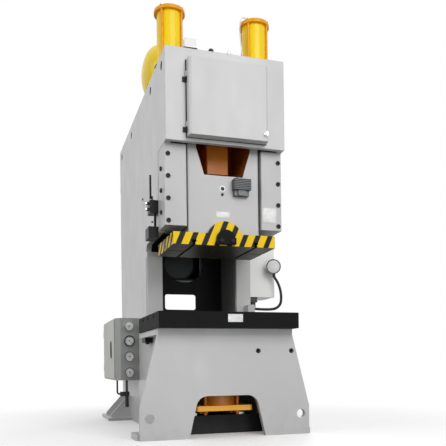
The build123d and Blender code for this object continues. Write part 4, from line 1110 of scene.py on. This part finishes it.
@dataclass
class Guides(SubAssembly):
    """Gibs, liners, guide bars and their bolts."""

    face: float = 70.0
    side: float = 470.0
    screw_depth: float = 185.0
    levels: tuple[float, ...] = (2052.0, 1886.0, 1720.0)

    COATS = {
        "gib_grey": ("gib_blocks",), "black_bolt": ("gib_bolts",),
        "oiled_bronze": ("gib_liners",), "ground_steel": ("rear_guide_bars",),
    }

    def build(self) -> None:
        """Add the blank plate of the right gib and the lock nuts of the adjusting screws."""
        self.plate("gib_blank_plate", (312, self.face - 1.2, 1664), (424, self.face, 1776), 7)
        spots = [
            ((side * self.side, self.screw_depth, level), facing)
            for level in self.levels for side, facing in ((-1, Facing.LEFT), (1, Facing.RIGHT))
        ]
        nut = Shape().turned([(0, 0), (19, 0), (19, 7), (16, 9), (0, 9)], steps=6)
        self.repeats.scatter("gib_lock_nuts", nut, spots, "black_bolt")


@dataclass
class Slide(SubAssembly):
    """Slide with its striped flange, clamp, gear motor, plugs and blank plate."""

    face: float = 95.0
    sight: tuple[float, float] = (-11.0, 1907.0)
    drain: tuple[float, float] = (-12.0, 1863.0)
    cable_radius: float = 4.0
    cable: tuple[Point, ...] = (
        (96, 62, 1978), (96, 60, 1994), (118, 60, 2008), (146, 66, 2016), (154, 84, 2018), (146, 112, 2020))

    COATS = {
        "slide_grey": ("slide",), "warning_stripes": ("slide_flange",), "black_bolster": ("shank_clamp",),
        "black_bolt": ("shank_clamp_bolts",), "dull_alloy": ("height_gear_motor",),
        "bearing_bronze": ("ball_seat",), "chromed": ("balance_pistons",),
    }

    def build(self) -> None:
        """Add the oil sight, the plug, the gear motor's cable and the blank plate."""
        for name, profile, (across, level), steps, finish in (
            ("oil_sight_ring", [(15, 0), (25, 0), (25, 4), (22, 6), (15, 6), (15, 0)], self.sight, 36, "lamp_white"),
            ("oil_sight_glass", [(0, 0), (15, 0), (15, 3), (9, 5), (0, 5)], self.sight, 28, "ink_black"),
            ("oil_drain_plug", [(0, 0), (11, 0), (11, 5), (5, 7), (0, 7)], self.drain, 6, "black_bolt"),
        ):
            shape = Shape().turned(profile, (across, self.face, level), Facing.FRONT, steps)
            self.piece(name, shape, finish, "slide_unit")
        self.repeats.pipe("gear_motor_cable", self.cable, self.cable_radius, "black_rubber", "slide_unit")
        low, high = (-62, self.face - 1.5, 1686), (45, self.face, 1731)
        self.plate("slide_blank_plate", low, high, 6, body="slide_unit")


@dataclass
class CrankDrive(SubAssembly):
    """Crankshaft, connecting rod, flywheel, clutch, belts and main motor."""

    crank_level: float = 2580.0
    clutch_back: float = 2660.0
    clutch_circle: float = 165.0
    cap_across: float = 138.0
    cap_top: float = 2689.0
    cap_depths: tuple[float, ...] = (322.0, 378.0)

    COATS = {
        "bright_shaft": ("crankshaft", "motor_pulley"), "rod_orange": ("connecting_rod", "connecting_rod_cap"),
        "ground_steel": ("ball_screw",), "bearing_bronze": ("crankshaft_bushes",),
        "motor_grey": ("flywheel", "main_motor"), "grey_alloy": ("clutch_brake",), "black_rubber": ("drive_belts",),
    }

    def build(self) -> None:
        """Add the bolts of the clutch and of the rod cap, and the blank plate of the motor."""
        spots = [
            ((across, self.clutch_back, self.crank_level + up), Facing.BACK)
            for across, up in on_circle(8, self.clutch_circle, 10, 45)
        ]
        self.repeats.scatter("clutch_bolts", hex_screw(13, 12), spots, "black_bolt", "crank_unit")
        caps = [
            ((self.cap_across * side, depth, self.cap_top), Facing.UP) for side in (-1, 1) for depth in self.cap_depths
        ]
        self.repeats.scatter("rod_cap_bolts", hex_screw(10, 14), caps, "black_bolt", "rod_unit")
        self.plate("motor_blank_plate", (235, 1925, 1662), (236, 2045, 1742), 8, Facing.RIGHT)


@dataclass
class FlywheelGuard(SubAssembly):
    """Sheet guard at the back with its screws, and a dark sheet before it that paints the shade deep in the frame."""

    back: float = 2704.0
    wheel_level: float = 2580.0
    screw_circle: float = 405.0
    shade_sheet_front: float = 2386.0
    shade_sheet_back: float = 2389.0
    shade_sheet_half: float = 424.0
    shade_sheet_low: float = 1480.0
    shade_sheet_high: float = 2099.0
    shaft_x: float = 40.0
    shaft_level: float = 1600.0
    hole: float = 60.0

    COATS = {"press_grey": ("flywheel_guard",)}

    def build(self) -> None:
        """Add the screws round the back face and the dark sheet that paints the shade deep in the frame."""
        spots = [
            ((across, self.back, self.wheel_level + up), Facing.BACK)
            for across, up in on_circle(12, self.screw_circle, -110, 20)
        ]
        self.repeats.scatter("guard_screws", screw_head(8, 5, PAN_HEAD, 14), spots, "zinc")
        left, right = self.shaft_x - self.hole, self.shaft_x + self.hole
        # A dark sheet across the frame, with a hole round the shaft, that paints the shade deep inside.
        sheet = Shape()
        for start, end, low, high in (
            (-self.shade_sheet_half, left, self.shade_sheet_low, self.shade_sheet_high),
            (right, self.shade_sheet_half, self.shade_sheet_low, self.shade_sheet_high),
            (left, right, self.shade_sheet_low, self.shaft_level - self.hole),
            (left, right, self.shaft_level + self.hole, self.shade_sheet_high),
        ):
            sheet.box((start, self.shade_sheet_front, low), (end, self.shade_sheet_back, high))
        self.piece("rear_screen_sheet", sheet, "shaded_grey")


@dataclass
class BalanceCylinders(SubAssembly):
    """Balance cylinders, air tank and the fittings on top of the head."""

    across: float = 356.0
    depth: float = 340.0
    top: float = 3350.0
    nut_circle: float = 111.0
    head: float = 2905.0
    foot_left: float = -326.0
    foot_right: float = -224.0
    foot_back: float = 76.0
    foot_high: float = 8.2
    gasket: float = 0.8
    valve: tuple[float, float] = (30.0, 22.0)
    filler: tuple[float, float] = (-110.0, 24.0)
    filler_rise: float = 12.0
    pipe_radius: float = 4.5
    pipe_route: tuple[Point, ...] = (
        (238, 290, 2906), (238, 288, 3010), (226, 286, 3120), (214, 286, 3230), (212, 286, 3300),
        (224, 288, 3352), (244, 292, 3376), (268, 298, 3374), (290, 305, 3362), (302, 308, 3348))

    COATS = {
        "gloss_yellow": ("balance_cylinders", "air_tank"), "cap_yellow": ("balance_caps",),
        "fittings_white": ("top_fittings",),
    }

    def build(self) -> None:
        """Add the nuts, the air pipe, the small valve, the filler cap and the box's gasket."""
        spots = [
            ((side * self.across + right, self.depth + back, self.top), Facing.UP)
            for side in (-1, 1) for back, right in on_circle(4, self.nut_circle, 45, 90)
        ]
        nut = Shape().turned([(0, 0), (14, 0), (14, 10), (12, 12), (0, 12)], steps=6)
        self.repeats.scatter("cylinder_nuts", nut, spots, "zinc")
        self.repeats.pipe("balance_air_pipe", self.pipe_route, self.pipe_radius, "plate_white")
        valve = [(0, 0), (16, 0), (16, 14), (10, 18), (10, 34), (0, 34)]
        self.piece("head_air_valve", Shape().turned(valve, (*self.valve, self.head), steps=20), "zinc")
        cap = [(0, 0), (20, 0), (20, 8), (15, 15), (6, 18), (0, 18)]
        place = (*self.filler, self.head + self.filler_rise)
        self.piece("head_filler_cap", Shape().turned(cap, place, steps=28), "black_plastic")
        left, right, top = self.foot_left - self.gasket, self.foot_right + self.gasket, self.head + self.foot_high
        foot = Shape().box((left, -self.gasket, self.head), (right, 0, top))
        foot.box((left, 0, self.head), (self.foot_left, self.foot_back, top))
        foot.box((self.foot_right, 0, self.head), (right, self.foot_back, top))
        self.piece("head_box_gasket", foot, "black_rubber")


@dataclass
class HeadCover(SubAssembly):
    """Front cover of the head, its hinges and latch, and a black strip round its edge that paints the shadow gap
    behind it.
    """

    inner: float = 310.5
    outer: float = 318.0
    low: float = 2239.0
    high: float = 2816.0
    strip: float = 7.0
    side_thick: float = 4.0
    strip_thick: float = 2.6
    leaf_x: float = -334.0
    leaf_face: float = -8.0
    hinge_levels: tuple[float, ...] = (2313.0, 2685.0)
    screw_drops: tuple[float, ...] = (10.0, 28.0)

    COATS = {
        "press_grey": ("head_cover",), "black_bolt": ("cover_hinge_posts",), "chromed": ("cover_latch",),
    }

    def build(self) -> None:
        """Add the hinge leaves' screws and the black strip that paints the shadow gap."""
        spots = [
            ((self.leaf_x, self.leaf_face, level - drop), Facing.FRONT)
            for level in self.hinge_levels for drop in self.screw_drops
        ]
        self.repeats.scatter("hinge_screws", screw_head(4, 2.5, PAN_HEAD, 14), spots, "black_bolt")
        # A black strip round the cover's edge paints the shadow gap between the cover and the head.
        shadow_strip = Shape().box((-self.outer, -self.side_thick, self.low), (-self.inner, 0, self.high))
        shadow_strip.box((self.inner, -self.side_thick, self.low), (self.outer, 0, self.high))
        shadow_strip.box((-self.inner, -self.strip_thick, self.low), (self.inner, 0, self.low + self.strip))
        shadow_strip.box((-self.inner, -self.strip_thick, self.high - self.strip), (self.inner, 0, self.high))
        self.piece("cover_seal", shadow_strip, "black_rubber")


@dataclass
class AirCabinet(SubAssembly):
    """Air control cabinet with its gauges, door, filter and hose."""

    gauge_x: float = -561.0
    front: float = 1272.0
    dial: float = 1278.0
    radius: float = 51.0
    inner: float = 45.0
    levels: tuple[float, ...] = (922.0, 783.0, 638.0, 490.0)
    angles: tuple[float, ...] = (-40.0, 35.0, -75.0, 10.0)
    tail: float = -10.0
    tip: float = 34.0
    wide: float = 2.4
    sweep: float = 270.0
    steps: int = 24

    COATS = {
        "panel_grey": ("air_cabinet",), "door_grey": ("air_cabinet_door",), "gauge_steel": ("pressure_gauges",),
        "black_plastic": ("air_service_unit",), "black_rubber": ("air_hose",), "black_bolt": ("bed_air_valve",),
    }

    def needle(self, angle: float) -> Outline:
        """Outline of a needle.

        Args:
            angle: Degrees that it leans from upright.

        Returns:
            Its two tail corners and its tip.
        """
        sine, cosine = math.sin(math.radians(angle)), math.cos(math.radians(angle))
        return [
            (self.tail * sine - self.wide * cosine, -(self.tail * cosine + self.wide * sine)),
            (self.tail * sine + self.wide * cosine, -(self.tail * cosine - self.wide * sine)),
            (self.tip * sine, -self.tip * cosine),
        ]

    def ticks(self, level: float) -> list[tuple[Point, Facing]]:
        """Spots of one dial's ticks, every fourth of them longer.

        Args:
            level: Height of the dial's middle.

        Returns:
            Where each small square goes and faces.
        """
        spots = []
        for number in range(self.steps + 1):
            angle = math.radians(-self.sweep / 2 + self.sweep / self.steps * number)
            for share in (0.80 if number % 4 else 0.74, 0.85, 0.9):
                across, up = self.inner * share * math.sin(angle), self.inner * share * math.cos(angle)
                spots.append(((self.gauge_x + across, self.dial - 1, level + up), Facing.FRONT))
        return spots

    def on_dials(self, name: str, profile: Outline, forward: float, steps: int, finish: str) -> None:
        """Turn a piece before every dial and show them as one.

        Args:
            name: Name of the piece.
            profile: Radius and height of each point.
            forward: How far before the dial's plane it starts.
            steps: Sides of the round.
            finish: Name of its finish.
        """
        shape = Shape()
        for level in self.levels:
            shape.turned(profile, (self.gauge_x, self.dial - forward, level), Facing.FRONT, steps)
        self.piece(name, shape, finish)

    def build(self) -> None:
        """Add dials, hubs, needles, ticks, glasses, dark rings that paint the bezels' shade on the dials, and the
        black rim.
        """
        inner, edge, dark = self.inner, self.inner - 0.4, self.inner - 3.2
        self.on_dials("gauge_dials", [(0, 0), (inner - 0.3, 0), (inner - 0.3, 1), (0, 1)], 0.0, 40, "dial_white")
        self.on_dials("gauge_hubs", [(0, 0), (5, 0), (4, 2.4), (0, 2.4)], 1.0, 16, "ink_black")
        needles, ticks = Shape(), []
        for level, angle in zip(self.levels, self.angles):
            needles.prism(self.needle(angle), (self.gauge_x, self.dial - 2.2, level), Facing.FRONT, 0.8)
            ticks += self.ticks(level)
        self.piece("gauge_needles", needles, "ink_black")
        self.repeats.scatter("gauge_ticks", Shape().box((-1.7, -1.7, 0), (1.7, 1.7, 0.3)), ticks, "ink_black")
        self.on_dials("gauge_glasses", [(0, 0), (edge, 0), (edge, 1), (0, 1.4)], 4.2, 40, "clear_glass")
        # A dark ring at each dial's edge paints the shade of the bezel on the dial.
        ring = [(dark, 0), (edge, 0), (edge, 1.2), (dark, 1.2), (dark, 0)]
        self.on_dials("gauge_black_rings", ring, 1.0, 40, "ink_black")
        profile = [(inner, 0), (self.radius, 0), (self.radius, 5), (self.radius - 3, 8), (inner, 6), (inner, 0)]
        rim = Shape().turned(profile, (self.gauge_x, self.front, self.levels[1]), Facing.FRONT, 40)
        self.piece("gauge_black_rim", rim, "black_plastic")


@dataclass
class ElectricCabinet(SubAssembly):
    """Electric cabinet with its door and handle."""

    COATS = {
        "plugged_white": ("electric_cabinet",), "cabinet_white": ("electric_cabinet_door",),
        "black_plastic": ("electric_door_handle",),
    }


@dataclass
class WorkLamp(SubAssembly):
    """Lamp on its ringed flexible arm."""

    shade: Point = (673.0, 764.0, 1436.3)
    turn: float = -14.0
    tilt: float = 98.0
    radius: float = 57.0
    lens_out: float = 23.0
    rings: int = 130
    ring_radius: float = 10.6
    wire_radius: float = 1.8
    route: tuple[Point, ...] = (
        (478, 740, 1048), (582, 740, 1042), (684, 740, 1050), (732, 740, 1092), (740.3, 740, 1154),
        (734, 744, 1226), (712, 752, 1293), (689, 764, 1334), (682, 770, 1352))

    COATS = {"lamp_arm_black": ("lamp_arm",), "black_plastic": ("lamp_head",)}

    def build(self) -> None:
        """Add the arm's rings and the lamp's lens."""
        rings = (self.rings, self.ring_radius, self.wire_radius)
        self.repeats.ringed("lamp_arm_rings", self.route, *rings, "black_plastic")
        profile = [(0, 0), (self.radius, 0), (self.radius, 3), (self.radius * 0.7, 6), (0, 8)]
        place = Matrix.Translation(self.shade) @ Matrix.Rotation(math.radians(self.turn), 4, "Z")
        place = place @ Matrix.Rotation(math.radians(self.tilt), 4, "X") @ Matrix.Translation((0, 0, self.lens_out))
        self.piece("lamp_lens", Shape().turned(profile, steps=48).moved(place), "lamp_lens", "lamp_unit")


@dataclass
class HandPump(SubAssembly):
    """Hand pump with its lever, fittings and oil reservoir."""

    union_x: float = -558.0
    union_depth: float = 326.0
    union_levels: tuple[float, ...] = (1772.0, 1818.0)

    COATS = {"black_bolt": ("hand_pump", "pump_lever", "oil_reservoir")}

    def build(self) -> None:
        """Add the bright pipe fittings."""
        shape, profile = Shape(), [(0, 0), (13, 0), (13, 8), (9, 11), (0, 11)]
        for level in self.union_levels:
            shape.turned(profile, (self.union_x, self.union_depth, level), Facing.LEFT, 6)
        self.piece("pump_unions", shape, "zinc")


@dataclass
class DieCushion(SubAssembly):
    """Die cushion under the bed."""

    COATS = {
        "press_orange": ("cushion_plate",), "rod_orange": ("cushion_cylinder", "cushion_tie_rods"),
        "ground_steel": ("cushion_pad",),
    }


# Studio


@dataclass(frozen=True)
class Lamp:
    """One soft square lamp: its place, aim and side in metres and its power in watts."""

    name: str
    place: Point
    aim: Point
    size: float
    power: float

    def build(self) -> None:
        """Hang the lamp."""
        data = bpy.data.lights.new(self.name, "AREA")
        data.shape = "SQUARE"
        data.size = self.size
        data.energy = self.power
        lamp = bpy.data.objects.new(self.name, data)
        lamp.location = self.place
        lamp.rotation_euler = (Vector(self.aim) - Vector(self.place)).to_track_quat("-Z", "Y").to_euler()
        bpy.context.scene.collection.objects.link(lamp)


@dataclass
class Studio:
    """Pale floor, white surround, soft lamps and the camera of the photograph."""

    eye: Point = (-1416.8, -4380.7, 567.9)
    turn_right: float = 17.3
    roll: float = 0.7
    lens: float = 49.19
    lift: float = 0.3137
    world_level: float = 0.46
    floor_tone: float = 0.93
    floor_bounce: float = 0.13
    floor_lift: float = 0.15
    floor_reach: float = 30.0
    fade_start: float = 1.6
    fade_end: float = 3.2
    lamps: tuple[Lamp, ...] = (
        Lamp("front_lamp", (1.2, -6.5, 4.6), (0, -0.4, 1.6), 4.0, 190),
        Lamp("low_lamp", (0.8, -6.2, 0.5), (0, -0.6, 0.6), 1.4, 38),
        Lamp("left_lamp", (-6.0, -1.5, 3.6), (0, -0.4, 1.6), 4.0, 115),
        Lamp("back_lamp", (3.5, 5.5, 4.5), (0, -0.4, 1.6), 3.0, 90),
    )

    def surround(self) -> None:
        """White world for what shows it directly, a softer one for light."""
        world = bpy.data.worlds.new("surround")
        bpy.context.scene.world = world
        world.use_nodes = True
        tree = Nodes(world.node_tree)
        tree.nodes.clear()
        light = tree.put("ShaderNodeBackground", {0: WHITE, 1: self.world_level}).outputs[0]
        white = tree.put("ShaderNodeBackground", {0: WHITE, 1: 1.0}).outputs[0]
        mix = tree.put("ShaderNodeMixShader", {0: tree.direct_rays(), 1: light, 2: white})
        tree.put("ShaderNodeOutputWorld", {0: mix.outputs[0]})

    def floor(self) -> None:
        """Pale floor that fades to white away from the press."""
        mesh = bpy.data.meshes.new("floor")
        reach = self.floor_reach
        corners = [(-reach, -reach, 0), (reach, -reach, 0), (reach, reach, 0), (-reach, reach, 0)]
        mesh.from_pydata(corners, [], [(0, 1, 2, 3)])
        floor = bpy.data.objects.new("floor", mesh)
        bpy.context.scene.collection.objects.link(floor)
        shader = Shader("studio_floor")
        path = shader.put("ShaderNodeLightPath").outputs
        seen, bounced = ((tone, tone, tone, 1) for tone in (self.floor_tone, self.floor_bounce))
        lifted = shader.math("MULTIPLY", path["Is Camera Ray"], self.floor_lift)
        shader.fill(Base_Color=shader.blend(path["Is Diffuse Ray"], seen, bounced), Roughness=0.6)
        shader.fill(Emission_Color=WHITE, Emission_Strength=lifted)
        distance = shader.put("ShaderNodeVectorMath", {0: shader.place}, operation="LENGTH").outputs["Value"]
        far = shader.math("MULTIPLY", shader.span(distance, self.fade_start, self.fade_end), shader.direct_rays())
        glow = shader.put("ShaderNodeEmission", {"Color": WHITE, "Strength": 1.0}).outputs[0]
        mix = shader.put("ShaderNodeMixShader", {0: far, 1: shader.surface.outputs[0], 2: glow})
        shader.join(shader.out.inputs[0], mix.outputs[0])
        mesh.materials.append(shader.material)

    def camera(self) -> None:
        """Camera at the photograph's place, angle and framing."""
        data = bpy.data.cameras.new("camera")
        data.sensor_width = 36.0
        data.sensor_fit = "HORIZONTAL"
        data.lens = self.lens
        data.shift_y = self.lift
        camera = bpy.data.objects.new("camera", data)
        look = Euler((math.radians(90), 0, math.radians(-self.turn_right)), "XYZ").to_matrix()
        turned = look @ Matrix.Rotation(math.radians(-self.roll), 3, "Z")
        camera.matrix_world = Matrix.Translation(at(*self.eye)) @ turned.to_4x4()
        bpy.context.scene.collection.objects.link(camera)
        bpy.context.scene.camera = camera

    def build(self) -> None:
        """Set up the whole studio."""
        self.surround()
        self.floor()
        for lamp in self.lamps:
            lamp.build()
        self.camera()
        bpy.context.scene.view_settings.view_transform = "Standard"


def main() -> None:
    """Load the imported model, dress it, build the small pieces and the studio."""
    logging.basicConfig(level=logging.INFO, format="%(name)s: %(message)s")
    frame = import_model()
    finishes = {recipe.name: recipe.material() for recipe in RECIPES}
    repeats = Repeats(finishes)
    for kind in (
        PressFrame, Bolster, Guides, Slide, CrankDrive, FlywheelGuard, BalanceCylinders, HeadCover,
        AirCabinet, ElectricCabinet, WorkLamp, HandPump, DieCushion,
    ):
        assembly = kind(frame, finishes, repeats)
        assembly.dress()
        assembly.build()
        LOG.info("%s done", kind.__name__)
    Studio().build()


if __name__ == "__main__":
    main()
